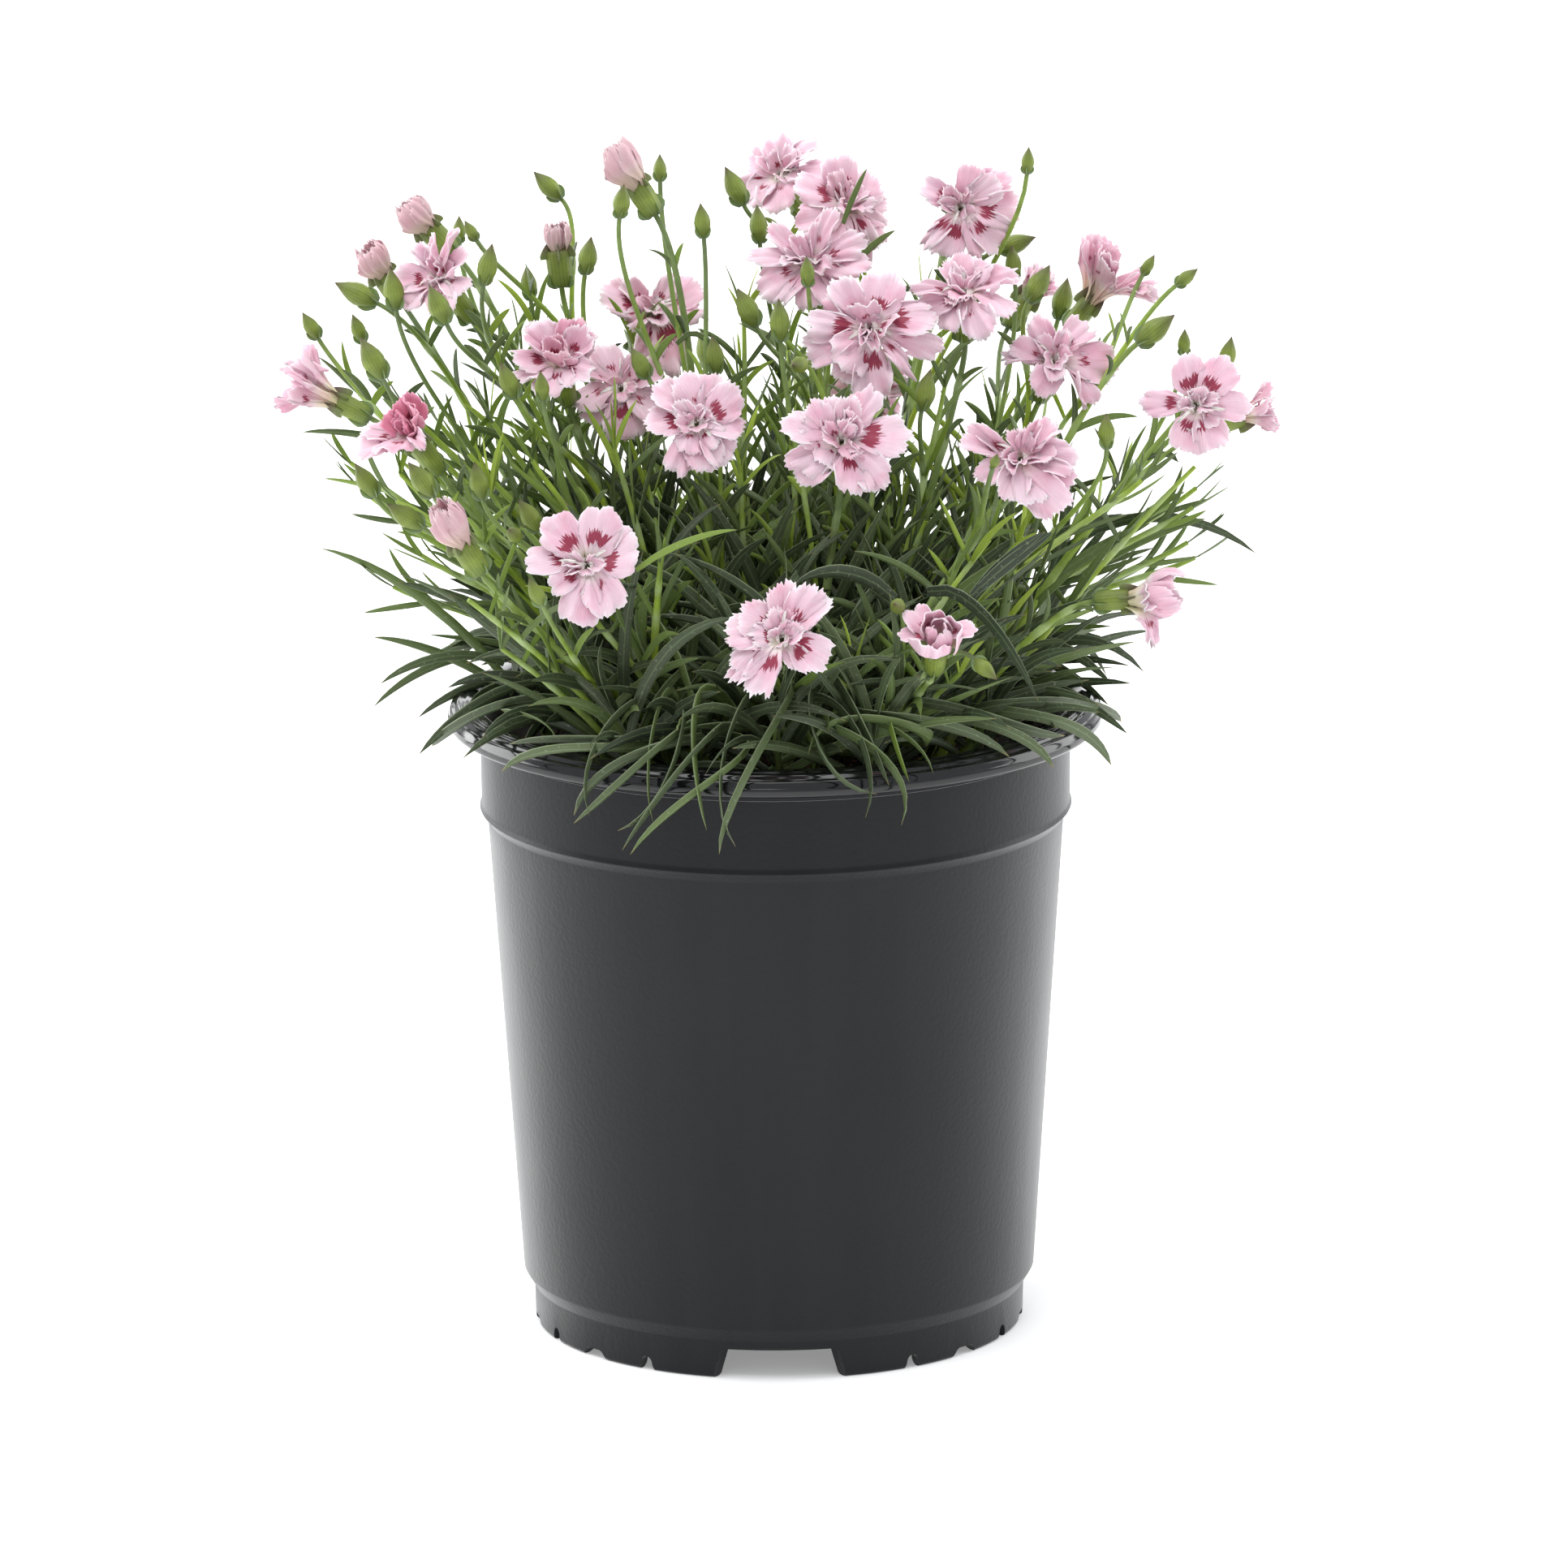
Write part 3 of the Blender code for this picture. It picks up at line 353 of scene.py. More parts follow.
for notch in range(NOTCHES):
    from_wide = min(notch % 11, 11 - notch % 11)
    turn = Matrix.Rotation(2 * math.pi * (notch / NOTCHES - 0.25), 4, "Z")
    turn = turn @ Matrix.Translation(((FOOT_RADIUS - 1.5) * MM, 0, 0))
    if from_wide == 0:
        prism(shaped, WIDE_INSIDE, WIDE_OUTSIDE, 5.0, turn)
    elif from_wide > 1:
        outline = SHALLOW if from_wide % 2 else ARCH
        prism(shaped, outline, outline, 5.0, turn)
bmesh.ops.recalc_face_normals(shaped, faces=shaped.faces)
cutter_mesh = bpy.data.meshes.new("notches")
shaped.to_mesh(cutter_mesh)
shaped.free()
cutter = object_of("notches", cutter_mesh)
cut = pot.modifiers.new("notches", "BOOLEAN")
cut.operation = "DIFFERENCE"
cut.object = cutter
bake(pot)
bpy.data.objects.remove(cutter, do_unlink=True)
pot.data.materials.clear()
pot.data.materials.append(pot_finish)
pot.data.materials.append(rim_finish)
for face in pot.data.polygons:
    face.material_index = int(face.center.z > (RIM_TOP - RIM_DEPTH) * MM)
pot.data.set_sharp_from_angle(angle=math.radians(34))
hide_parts("nursery_pot")
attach(pot, "root")
print("pot:", len(pot.data.polygons), "faces")

# %% [markdown]
# ## The potting mix
# The mix is peat with composted bark, nearly black when damp. A plug turned to the pot's inside gives
# the body. A Geometry Nodes tree then lifts its top with noise and scatters crumbs of bark over it:
# crumbs repeat by the hundred, each turned and sized by chance, so instances on random points suit
# them, and each crumb has only 20 faces. A fixed seed makes every run the same.

# %% Make the mix's finish
mix_finish, tree, shader = new_finish("peat_and_bark_mix")
place = add_node(tree, "ShaderNodeTexCoord").outputs["Object"]
fibre = add_node(
    tree, "ShaderNodeTexNoise", {"Vector": place, "Scale": 1 / 0.0018, "Detail": 6.0, "Roughness": 0.7}
)
shade = add_node(tree, "ShaderNodeAttribute", attribute_name="shade")
mixed = add_node(tree, "ShaderNodeMath", {0: fibre, 1: shade.outputs["Fac"]}, operation="ADD")
earth = add_node(tree, "ShaderNodeValToRGB", {0: mixed})
set_stops(earth, ((0.35, "#120e0b"), (0.75, "#2a1e16"), (1.1, "#4a3523"), (1.4, "#6b5136")))
crumble = add_node(tree, "ShaderNodeBump", {"Height": fibre, "Strength": 0.7, "Distance": 0.0006})
feed_node(tree, shader, {"Base Color": earth, "Normal": crumble, "Roughness": 0.92})
print("made", mix_finish.name)

# %% Build the tree that roughens the mix and scatters its crumbs
def new_tree(name, inputs):
    """A Geometry Nodes tree with a geometry going in and out, and the named inputs."""
    tree = bpy.data.node_groups.new(name, "GeometryNodeTree")
    tree.interface.new_socket("Geometry", in_out="INPUT", socket_type="NodeSocketGeometry")
    tree.interface.new_socket("Geometry", in_out="OUTPUT", socket_type="NodeSocketGeometry")
    for label, kind in inputs:
        tree.interface.new_socket(label, in_out="INPUT", socket_type="NodeSocket" + kind)
    return tree, add_node(tree, "NodeGroupInput").outputs, add_node(tree, "NodeGroupOutput")


def grown(obj, tree, sizes):
    """Runs a tree on an object with these inputs, and leaves the object as the plain mesh that it made."""
    steps = obj.modifiers.new(tree.name, "NODES")
    steps.node_group = tree
    for item in tree.interface.items_tree:
        if item.in_out == "INPUT" and item.name in sizes:
            steps[item.identifier] = sizes[item.name]
    bake(obj)
    return obj


crumb_tree, given, result = new_tree(
    "mix_surface",
    (
        ("Top", "Float"), ("Roughness", "Float"), ("Crumbs per m2", "Float"), ("Crumb size", "Float"),
        ("Seed", "Int"), ("Finish", "Material"),
    ),
)
spot = add_node(crumb_tree, "GeometryNodeInputPosition")
spot_parts = add_node(crumb_tree, "ShaderNodeSeparateXYZ", {0: spot}).outputs
is_top = add_node(
    crumb_tree, "FunctionNodeCompare", {0: spot_parts["Z"], 1: given["Top"]}, operation="GREATER_THAN"
)
lumps = add_node(crumb_tree, "ShaderNodeTexNoise", {"Vector": spot, "Scale": 180.0, "Detail": 4.0})
lift = add_node(crumb_tree, "ShaderNodeMath", {0: lumps, 1: given["Roughness"]}, operation="MULTIPLY")
upward = add_node(crumb_tree, "ShaderNodeCombineXYZ", {"Z": lift})
uneven = add_node(
    crumb_tree, "GeometryNodeSetPosition",
    {"Geometry": given["Geometry"], "Selection": is_top, "Offset": upward},
)
spots = add_node(
    crumb_tree, "GeometryNodeDistributePointsOnFaces",
    {"Mesh": uneven, "Selection": is_top, "Density": given["Crumbs per m2"], "Seed": given["Seed"]},
)
crumb = add_node(crumb_tree, "GeometryNodeMeshIcoSphere", {"Radius": given["Crumb size"], "Subdivisions": 1})
spin = add_node(
    crumb_tree, "FunctionNodeRandomValue", {"Min": (0, 0, 0), "Max": (6.28, 6.28, 6.28), "Seed": 3},
    data_type="FLOAT_VECTOR",
)
flatness = add_node(
    crumb_tree, "FunctionNodeRandomValue", {"Min": (0.5, 0.35, 0.3), "Max": (2.2, 1.2, 0.9), "Seed": 4},
    data_type="FLOAT_VECTOR",
)
scattered = add_node(
    crumb_tree, "GeometryNodeInstanceOnPoints",
    {"Points": spots, "Instance": crumb, "Rotation": spin, "Scale": flatness},
)
darkness = add_node(crumb_tree, "FunctionNodeRandomValue", {2: -0.2, 3: 0.6, "Seed": 5}, data_type="FLOAT")
shaded = add_node(
    crumb_tree, "GeometryNodeStoreNamedAttribute",
    {"Geometry": scattered, "Name": "shade", "Value": darkness}, data_type="FLOAT", domain="INSTANCE",
)
whole = add_node(crumb_tree, "GeometryNodeJoinGeometry")
for layer in (uneven, shaded):
    feed_node(crumb_tree, whole, {0: layer})
real = add_node(crumb_tree, "GeometryNodeRealizeInstances", {"Geometry": whole})
coated = add_node(crumb_tree, "GeometryNodeSetMaterial", {"Geometry": real, "Material": given["Finish"]})
feed_node(crumb_tree, result, {0: coated})
print("the crumb tree has", len(crumb_tree.nodes), "nodes")

# %% Fill the pot
SOIL_TOP = 150.0
CLEAR = 0.35
edge = inner - CLEAR
TOP_STEPS = 24
mix_profile = [
    (0.0, FOOT_HEIGHT),
    (FOOT_RADIUS - 2.4, FOOT_HEIGHT),
    (BODY_FOOT_RADIUS - WALL - CLEAR, FOOT_HEIGHT + 4.2),
    (BODY_TOP_RADIUS - WALL - CLEAR, BAND_BOTTOM - 2.8),
    (edge, BAND_BOTTOM + 1.0),
    (edge, SOIL_TOP - 3.0),
]
for i in range(1, TOP_STEPS + 1):
    share_in = 1 - i / TOP_STEPS
    mix_profile.append((edge * share_in, SOIL_TOP - 2.2 + 2.6 * (1 - share_in**2)))
mix = turned("soil_plug", mix_profile, 96)
grown(
    mix, crumb_tree,
    {
        "Top": (SOIL_TOP - 2.9) * MM, "Roughness": 2.0 * MM, "Crumbs per m2": 90000.0,
        "Crumb size": 1.05 * MM, "Seed": 8, "Finish": mix_finish,
    },
)
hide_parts("potting_mix")
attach(mix, "root")
print("mix:", len(mix.data.polygons), "faces")

# %% [markdown]
# ## Where every stem and head stands
# The CAD places each spray: where its stem leaves the mix, and for every head what it is, how
# far across and how high it looks in the photograph, how deep it stands, its size and where it faces.
# The same list is used here, so each head lands on its CAD node. A stem is a smooth cubic curve that
# starts upright in the mix and runs into its head along the head's own axis.

# %% List the sprays
STEM_FOOT_DEPTH = 6.5
FORK_BELOW = 46.0  # a branch leaves its stem this far below its own head
FORWARD_SPRAY = 22  # this one leans towards the camera first, over the leaves
EARLY_LEAN = 0.3  # how much of its sideways way a stem has already taken in its first third
CALYX_RADIUS = 2.8
SMALL_BLOOM = 17.0
BUD_GIRTH = 0.245  # half a bud's width as a share of its length
CALYX_LENGTH = {"open": 15.0, "cup": 14.0, "trumpet": 14.0, "tip": 12.0}
CALYX_GIRTH = {"tip": 1.12, "trumpet": 0.95}  # the calyx is fullest while the petals push out of it
SIGHT_SLOPE = 0.236  # a place this much lower for each millimetre of depth looks as high
SPRAYS = (
    ((-38, -4), (("trumpet", -113, 240, 2, 21, 166, 25), ("bud", -114, 254, 16, 8, 180, 60),
        ("bud", -97, 243, -16, 12, 170, 62), ("bud", -103, 253, 26, 8, 180, 70))),
    ((-35, 14), (("tip", -93, 263, 34, 13, 180, 57), ("bud", -99, 263, 14, 12, 180, 27),
        ("bud", -94, 261, 0, 11, 180, 83))),
    ((-28, 28), (("tip", -80, 276, 30, 13, 180, 45), ("bud", -79, 279, 46, 7, 90, 86))),
    ((-25, 5), (("open", -82, 268, 4, 21, -130, 48), ("bud", -72, 267, -6, 11, 0, 78),
        ("bud", -81, 257, -18, 11, 180, 67))),
    ((-35, -21), (("cup", -89, 228, -38, 20, -130, 48), ("bud", -84, 213, -52, 11, 190, 55),
        ("bud", -99, 213, -30, 10, 180, 60), ("bud", -87, 205, -40, 11, 180, 35))),
    ((-27, -37), (("tip", -72, 193, -62, 15, 185, 58), ("bud", -57, 185, -76, 8, 190, 65))),
    ((-14, -33), (("open", -46, 195, -66, 30, -92, 24), ("bud", -58, 204, -50, 10, 200, 58),
        ("bud", -63, 202, -60, 8, -110, 30), ("bud", -72, 212, -44, 10, 180, 78))),
    ((-21, -11), (("cup", -53, 246, -8, 24, -102, 52), ("bud", -64, 238, -22, 10, 180, 68),
        ("bud", -57, 237, -30, 8, 180, 85))),
    ((-19, 20), (("tip", -53, 267, 28, 12, 180, 84), ("bud", -47, 270, 16, 10, 0, 80),
        ("bud", -61, 264, 36, 9, 180, 84), ("bud", -53, 290, 40, 10, 180, 46))),
    ((-13, 5), (("tip", -29, 285, 8, 14, 180, 58), ("bud", -28, 294, 26, 7, 90, 80),
        ("bud", -38, 284, -2, 9, 0, 82))),
    ((-11, 29), (("open", -31, 260, 38, 23, -65, 48), ("open", -38, 240, 6, 22, -95, 38))),
    ((-8, -15), (("open", -19, 231, -32, 26, -88, 25), ("bud", -14, 244, -8, 10, 180, 84),
        ("bud", -31, 243, -16, 9, 180, 62), ("bud", -17, 279, 4, 9, 180, 85))),
    ((3, 30), (("open", 3, 295, 58, 22, -125, 48), ("open", 18, 287, 44, 25, -60, 40),
        ("bud", -7, 288, 34, 11, 180, 65), ("bud", -3, 278, 26, 10, 180, 86))),
    ((2, 15), (("open", 10, 271, 10, 28, -100, 56), ("bud", -4, 256, -6, 11, 180, 65))),
    ((14, -6), (("open", 24, 255, -14, 34, -82, 26), ("bud", 9, 266, -14, 8, 180, 87))),
    ((7, -24), (("open", 17, 226, -42, 33, -92, 28), ("bud", 8, 246, -30, 9, -110, 12),
        ("bud", 2, 252, -20, 11, 180, 88))),
    ((18, 16), (("open", 47, 286, 20, 25, -82, 30), ("bud", 57, 276, 30, 10, 0, 19),
        ("bud", 64, 295, 14, 7, 0, 86))),
    ((22, -11), (("open", 48, 263, -6, 23, -92, 58), ("bud", 37, 234, -18, 11, 0, 78))),
    ((28, 4), (("open", 70, 246, -2, 25, -72, 48), ("bud", 64, 262, 4, 11, 0, 60),
        ("bud", 61, 268, 22, 9, 180, 85))),
    ((27, 23), (("trumpet", 83, 266, 24, 18, 0, 52), ("trumpet", 67, 268, 50, 15, 20, 55),
        ("bud", 72, 258, 32, 11, 0, 77))),
    ((38, -2), (("bud", 91, 251, -6, 12, 0, 38), ("bud", 101, 266, 4, 7, 0, 38),
        ("bud", 83, 224, -24, 9, 90, 85))),
    ((39, -19), (("open", 105, 235, -26, 28, -86, 16), ("bud", 113, 244, 0, 9, 0, 78),
        ("bud", 103, 248, 8, 7, 0, 87), ("trumpet", 122, 234, -10, 12, 0, 20))),
    ((24, -33), (("open", 61, 221, -50, 31, -86, 36),)),
    ((36, -35), (("trumpet", 93, 186, -40, 16, -8, 6),)),
    ((3, -46), (("open", 2, 176, -84, 29, -94, 30),)),
    ((20, -47), (("cup", 40, 175, -78, 18, -86, 44), ("bud", 49, 171, -80, 8, -30, -35),
        ("bud", 31, 184, -72, 8, -100, 20))),
    ((8, 44), (("open", 26, 238, 82, 27, 78, 30), ("bud", 8, 238, 84, 10, 100, 50),
        ("bud", -16, 246, 72, 11, 120, 66))),
)
SMALL_BUDS = {
    8: (("bud", -74, 279, 16, 6, 180, 60),), 20: (("bud", 93, 269, 16, 6, 0, 60),),
    22: (("bud", 54, 219, -66, 5, -60, 60),),
}
print(len(SPRAYS), "sprays with", sum(len(rows) for _, rows in SPRAYS), "heads")

# %% Work out the curves of the stems
def direction(turn, lift):
    turn, lift = math.radians(turn), math.radians(lift)
    return np.array((math.cos(turn) * math.cos(lift), math.sin(turn) * math.cos(lift), math.sin(lift)))


def unit(vector):
    return vector / np.linalg.norm(vector)


def square_to(axis):
    """Two unit vectors square to an axis and to each other."""
    side = unit(np.cross(axis, (0.12, 0.19, 0.97)))
    return side, np.cross(axis, side)


def bezier(points, t):
    a, b, c, d = points
    s = 1 - t
    return s**3 * a + 3 * s * s * t * b + 3 * s * t * t * c + t**3 * d


def seen_at(across, seen, depth):
    """The place that looks this far across and this high from the camera, at a depth."""
    return np.array((across, depth, seen - SIGHT_SLOPE * depth), float)


def head_of(kind, across, seen, depth, size, turn, lift):
    place = seen_at(across, seen, depth)
    axis = direction(turn, lift)
    length = size if kind == "bud" else CALYX_LENGTH[kind]
    base = place if kind in ("bud", "tip") else place - length * axis
    if kind == "bud":
        width = BUD_GIRTH * size
    else:
        width = CALYX_RADIUS * CALYX_GIRTH.get(kind, 0.8 if size <= SMALL_BLOOM else 1.0)
    return {"kind": kind, "size": size, "axis": axis, "base": base, "width": width, "length": length}


def plan_sprays():
    """The curve of every stem and branch, with the head at its end."""
    sprays = []
    for number, (root, rows) in enumerate(SPRAYS):
        foot = np.array((*root, SOIL_TOP - STEM_FOOT_DEPTH), float)
        heads = [head_of(*row) for row in rows + SMALL_BUDS.get(number, ())]
        main = heads[0]
        way = main["base"] - foot
        span = np.linalg.norm(way)
        rise = foot + (0.3 * span + 10.0) * np.array((0, 0, 1.0)) + EARLY_LEAN * way * (1, 1, 0)
        if number == FORWARD_SPRAY:
            rise = foot + np.array((-2.0, -24.0, 0.3 * span + 18.0))
        main["curve"] = (foot, rise, main["base"] - 0.14 * span * main["axis"], main["base"])
        for head in heads[1:]:
            # a head that looks straight up has a long stem
            below = FORK_BELOW if head["axis"][2] < 0.98 else 2 * FORK_BELOW
            fork = (head["base"][2] - below - foot[2]) / way[2]
            fork = min(0.84, max(0.25, fork))
            start = bezier(main["curve"], fork)
            ahead = unit(bezier(main["curve"], fork + 0.02) - start)
            span = np.linalg.norm(head["base"] - start)
            arrival = head["base"] - 0.22 * span * head["axis"]
            head["curve"] = (start, start + 0.34 * span * ahead, arrival, head["base"])
        sprays.append(heads)
    return sprays


sprays = plan_sprays()
print("planned", sum(map(len, sprays)), "stems")

# %% [markdown]
# ## Green tissue that follows a path
# A stem, a bud and a leaf are all a cross-section carried along a line: round for a stem, and for a
# leaf a thin lens folded along its midrib. So one Geometry Nodes tree serves all the green parts. Each
# line is a chain of edges in a plain mesh, whose points carry what the tree needs: half the width, the
# way the upper face looks, and whether it is a blade. The tree sweeps the section along each line and
# keeps where a point lies in the section, which the finishes read for midribs, margins and ribs.

# %% Make the leaf's finish
leaf_finish, tree, shader = new_finish("glaucous_dianthus_leaf")
# Wax on the leaf scatters blue, so the green looks greyed; margin and midrib carry less chlorophyll.
section = add_node(tree, "ShaderNodeAttribute", attribute_name="section")
section_parts = add_node(tree, "ShaderNodeSeparateXYZ", {0: section.outputs["Vector"]}).outputs
growth = add_node(tree, "ShaderNodeAttribute", attribute_name="growth")
growth_parts = add_node(tree, "ShaderNodeSeparateXYZ", {0: growth.outputs["Vector"]}).outputs
hue = add_node(tree, "ShaderNodeValToRGB", {0: growth_parts["Z"]})
set_stops(hue, (
    (0.0, "#2f3929"), (0.45, "#465236"), (0.72, "#61743c"), (0.88, "#7b9439"), (1.0, "#9ab13a"),
))
across = add_node(tree, "ShaderNodeMath", {0: section_parts["X"]}, operation="ABSOLUTE")
streak_place = add_node(
    tree, "ShaderNodeVectorMath", {0: growth.outputs["Vector"], 1: (4.0, 1.0, 60.0)}, operation="MULTIPLY"
)
streak_spot = add_node(tree, "ShaderNodeCombineXYZ", {"X": section_parts["X"]})
streak_wide = add_node(
    tree, "ShaderNodeVectorMath", {0: streak_spot, 1: (9.0, 0.0, 0.0)}, operation="MULTIPLY"
)
streak_sum = add_node(tree, "ShaderNodeVectorMath", {0: streak_place, 1: streak_wide}, operation="ADD")
streaks = add_node(tree, "ShaderNodeTexNoise", {"Vector": streak_sum, "Scale": 1.6, "Detail": 3.0})
streak_gain = add_node(
    tree, "ShaderNodeMapRange",
    {"Value": streaks, "From Min": 0.3, "From Max": 0.7, "To Min": 0.72, "To Max": 1.28},
)
streaked = add_node(tree, "ShaderNodeVectorMath", {0: hue, "Scale": streak_gain}, operation="SCALE")
rib_mask = add_node(
    tree, "ShaderNodeMapRange", {"Value": across, "From Min": 0.16, "From Max": 0.02, "To Max": 0.35}
)
ribbed = add_node(tree, "ShaderNodeMix", {0: rib_mask, 6: streaked, 7: linear("#81986a")}, data_type="RGBA")
scale_hue = add_node(tree, "ShaderNodeValToRGB", {0: growth_parts["Y"]})
set_stops(scale_hue, ((0.1, "#76896a"), (0.45, "#6d8447"), (0.75, "#67703f"), (0.95, "#5a4440")))
on_scale = add_node(tree, "ShaderNodeMath", {0: growth_parts["Y"], 1: 0.001}, operation="GREATER_THAN")
kind_hue = add_node(tree, "ShaderNodeMix", {0: on_scale, 6: ribbed, 7: scale_hue}, data_type="RGBA")
edge_mask = add_node(
    tree, "ShaderNodeMapRange", {"Value": across, "From Min": 0.86, "From Max": 0.98, "To Max": 0.6}
)
edged = add_node(tree, "ShaderNodeMix", {0: edge_mask, 6: kind_hue, 7: linear("#9aa983")}, data_type="RGBA")
place = add_node(tree, "ShaderNodeTexCoord").outputs["Object"]
dust = add_node(tree, "ShaderNodeTexNoise", {"Vector": place, "Scale": 1 / 0.0009, "Detail": 2.0})
dust_mask = add_node(
    tree, "ShaderNodeMapRange", {"Value": dust, "From Min": 0.62, "From Max": 0.75, "To Max": 0.3}
)
dusted = add_node(tree, "ShaderNodeMix", {0: dust_mask, 6: edged, 7: linear("#a5b094")}, data_type="RGBA")
dry_mask = add_node(
    tree, "ShaderNodeMapRange",
    {"Value": growth_parts["X"], "From Min": 0.965, "From Max": 1.0, "To Max": 0.8},
)
dried = add_node(tree, "ShaderNodeMix", {0: dry_mask, 6: dusted, 7: linear("#8a7a4a")}, data_type="RGBA")
relief = add_node(tree, "ShaderNodeBump", {"Height": streaks, "Strength": 0.25, "Distance": 0.0003})
feed_node(tree, shader, {"Base Color": dried, "Normal": relief, "Roughness": 0.47, "IOR": 1.42})
print("made", leaf_finish.name)

# %% Make the stem's and the buds' finish
stem_finish, tree, shader = new_finish("waxy_dianthus_stem")
# Stems are grey-green with wax higher up; lower down, among the leaves, a brighter yellow-green is
# painted in for light that shines through them in the shade there. A calyx shows fine upright ribs,
# and its teeth are tipped purple-brown.
section = add_node(tree, "ShaderNodeAttribute", attribute_name="section")
section_parts = add_node(tree, "ShaderNodeSeparateXYZ", {0: section.outputs["Vector"]}).outputs
growth = add_node(tree, "ShaderNodeAttribute", attribute_name="growth")
growth_parts = add_node(tree, "ShaderNodeSeparateXYZ", {0: growth.outputs["Vector"]}).outputs
joint = add_node(tree, "ShaderNodeAttribute", attribute_name="joint")
hue = add_node(tree, "ShaderNodeValToRGB", {0: growth_parts["Z"]})
set_stops(hue, ((0.0, "#62734f"), (0.35, "#768b4b"), (0.7, "#8da73d"), (1.0, "#adc542")))
joined = add_node(
    tree, "ShaderNodeMix", {0: joint.outputs["Fac"], 6: hue, 7: linear("#a9bd86")}, data_type="RGBA"
)
bud_hue = add_node(tree, "ShaderNodeValToRGB", {0: growth_parts["Y"]})
set_stops(bud_hue, (
    (0.0, "#66775a"), (0.15, "#697a37"), (0.45, "#788938"), (0.75, "#687532"),
    (0.92, "#5f6136"), (1.0, "#523b33"),
))
on_bud = add_node(tree, "ShaderNodeMath", {0: growth_parts["Y"], 1: 0.001}, operation="GREATER_THAN")
tissue = add_node(tree, "ShaderNodeMix", {0: on_bud, 6: joined, 7: bud_hue}, data_type="RGBA")
round_angle = add_node(
    tree, "ShaderNodeMath", {0: section_parts["Y"], 1: section_parts["X"]}, operation="ARCTAN2"
)
rib_count = add_node(tree, "ShaderNodeMath", {0: round_angle, 1: 20.0}, operation="MULTIPLY")
rib_wave = add_node(tree, "ShaderNodeMath", {0: rib_count}, operation="SINE")
place = add_node(tree, "ShaderNodeTexCoord").outputs["Object"]
patches = add_node(tree, "ShaderNodeTexNoise", {"Vector": place, "Scale": 1 / 0.0035, "Detail": 3.0})
patch_wave = add_node(tree, "ShaderNodeMath", {0: rib_wave, 1: 0.10, 2: patches}, operation="MULTIPLY_ADD")
gain = add_node(
    tree, "ShaderNodeMapRange",
    {"Value": patch_wave, "From Min": 0.25, "From Max": 0.75, "To Min": 0.78, "To Max": 1.22},
)
varied = add_node(tree, "ShaderNodeVectorMath", {0: tissue, "Scale": gain}, operation="SCALE")
relief = add_node(tree, "ShaderNodeBump", {"Height": rib_wave, "Strength": 0.25, "Distance": 0.0001})
feed_node(tree, shader, {"Base Color": varied, "Normal": relief, "Roughness": 0.45, "IOR": 1.42})
print("made", stem_finish.name)

# %% Build the tree that sweeps stems and blades
green_tree, given, result = new_tree("green_tissue", (
    ("Stem sides", "Int"), ("Blade points", "Int"), ("Blade thickness", "Float"), ("Blade fold", "Float"),
    ("Stem finish", "Material"), ("Blade finish", "Material"),
))
lines = add_node(green_tree, "GeometryNodeMeshToCurve", {"Mesh": given["Geometry"]})
half_width = add_node(
    green_tree, "GeometryNodeInputNamedAttribute", {"Name": "half_width"}, data_type="FLOAT"
)
sized = add_node(green_tree, "GeometryNodeSetCurveRadius", {"Curve": lines, "Radius": half_width})
is_blade = add_node(green_tree, "GeometryNodeInputNamedAttribute", {"Name": "is_blade"}, data_type="BOOLEAN")
sorted_lines = add_node(
    green_tree, "GeometryNodeSeparateGeometry", {"Geometry": sized, "Selection": is_blade}, domain="CURVE"
)
upper = add_node(green_tree, "GeometryNodeInputNamedAttribute", {"Name": "upper"}, data_type="FLOAT_VECTOR")
facing = add_node(
    green_tree, "GeometryNodeSetCurveNormal", {"Curve": sorted_lines, "Normal": upper}, mode="FREE"
)
spot = add_node(green_tree, "GeometryNodeInputPosition")
lens = add_node(
    green_tree, "GeometryNodeCurvePrimitiveCircle", {"Resolution": given["Blade points"], "Radius": 1.0}
)
lens_kept = add_node(
    green_tree, "GeometryNodeStoreNamedAttribute", {"Geometry": lens, "Name": "section", "Value": spot},
    data_type="FLOAT_VECTOR", domain="POINT",
)
lens_parts = add_node(green_tree, "ShaderNodeSeparateXYZ", {0: spot}).outputs
lens_across = add_node(green_tree, "ShaderNodeMath", {0: lens_parts["X"]}, operation="ABSOLUTE")
lens_fold = add_node(
    green_tree, "ShaderNodeMath", {0: lens_across, 1: given["Blade fold"]}, operation="MULTIPLY"
)
lens_height = add_node(
    green_tree, "ShaderNodeMath", {0: lens_parts["Y"], 1: given["Blade thickness"], 2: lens_fold},
    operation="MULTIPLY_ADD",
)
lens_spot = add_node(green_tree, "ShaderNodeCombineXYZ", {"X": lens_parts["X"], "Y": lens_height})
folded = add_node(green_tree, "GeometryNodeSetPosition", {"Geometry": lens_kept, "Position": lens_spot})
ring = add_node(
    green_tree, "GeometryNodeCurvePrimitiveCircle", {"Resolution": given["Stem sides"], "Radius": 1.0}
)
ring_kept = add_node(
    green_tree, "GeometryNodeStoreNamedAttribute", {"Geometry": ring, "Name": "section", "Value": spot},
    data_type="FLOAT_VECTOR", domain="POINT",
)
blades = add_node(
    green_tree, "GeometryNodeCurveToMesh",
    {"Curve": facing, "Profile Curve": folded, "Scale": half_width, "Fill Caps": True},
)
stems = add_node(
    green_tree, "GeometryNodeCurveToMesh",
    {
        "Curve": sorted_lines.outputs["Inverted"], "Profile Curve": ring_kept, "Scale": half_width,
        "Fill Caps": True,
    },
)
blades_coated = add_node(
    green_tree, "GeometryNodeSetMaterial", {"Geometry": blades, "Material": given["Blade finish"]}
)
stems_coated = add_node(
    green_tree, "GeometryNodeSetMaterial", {"Geometry": stems, "Material": given["Stem finish"]}
)
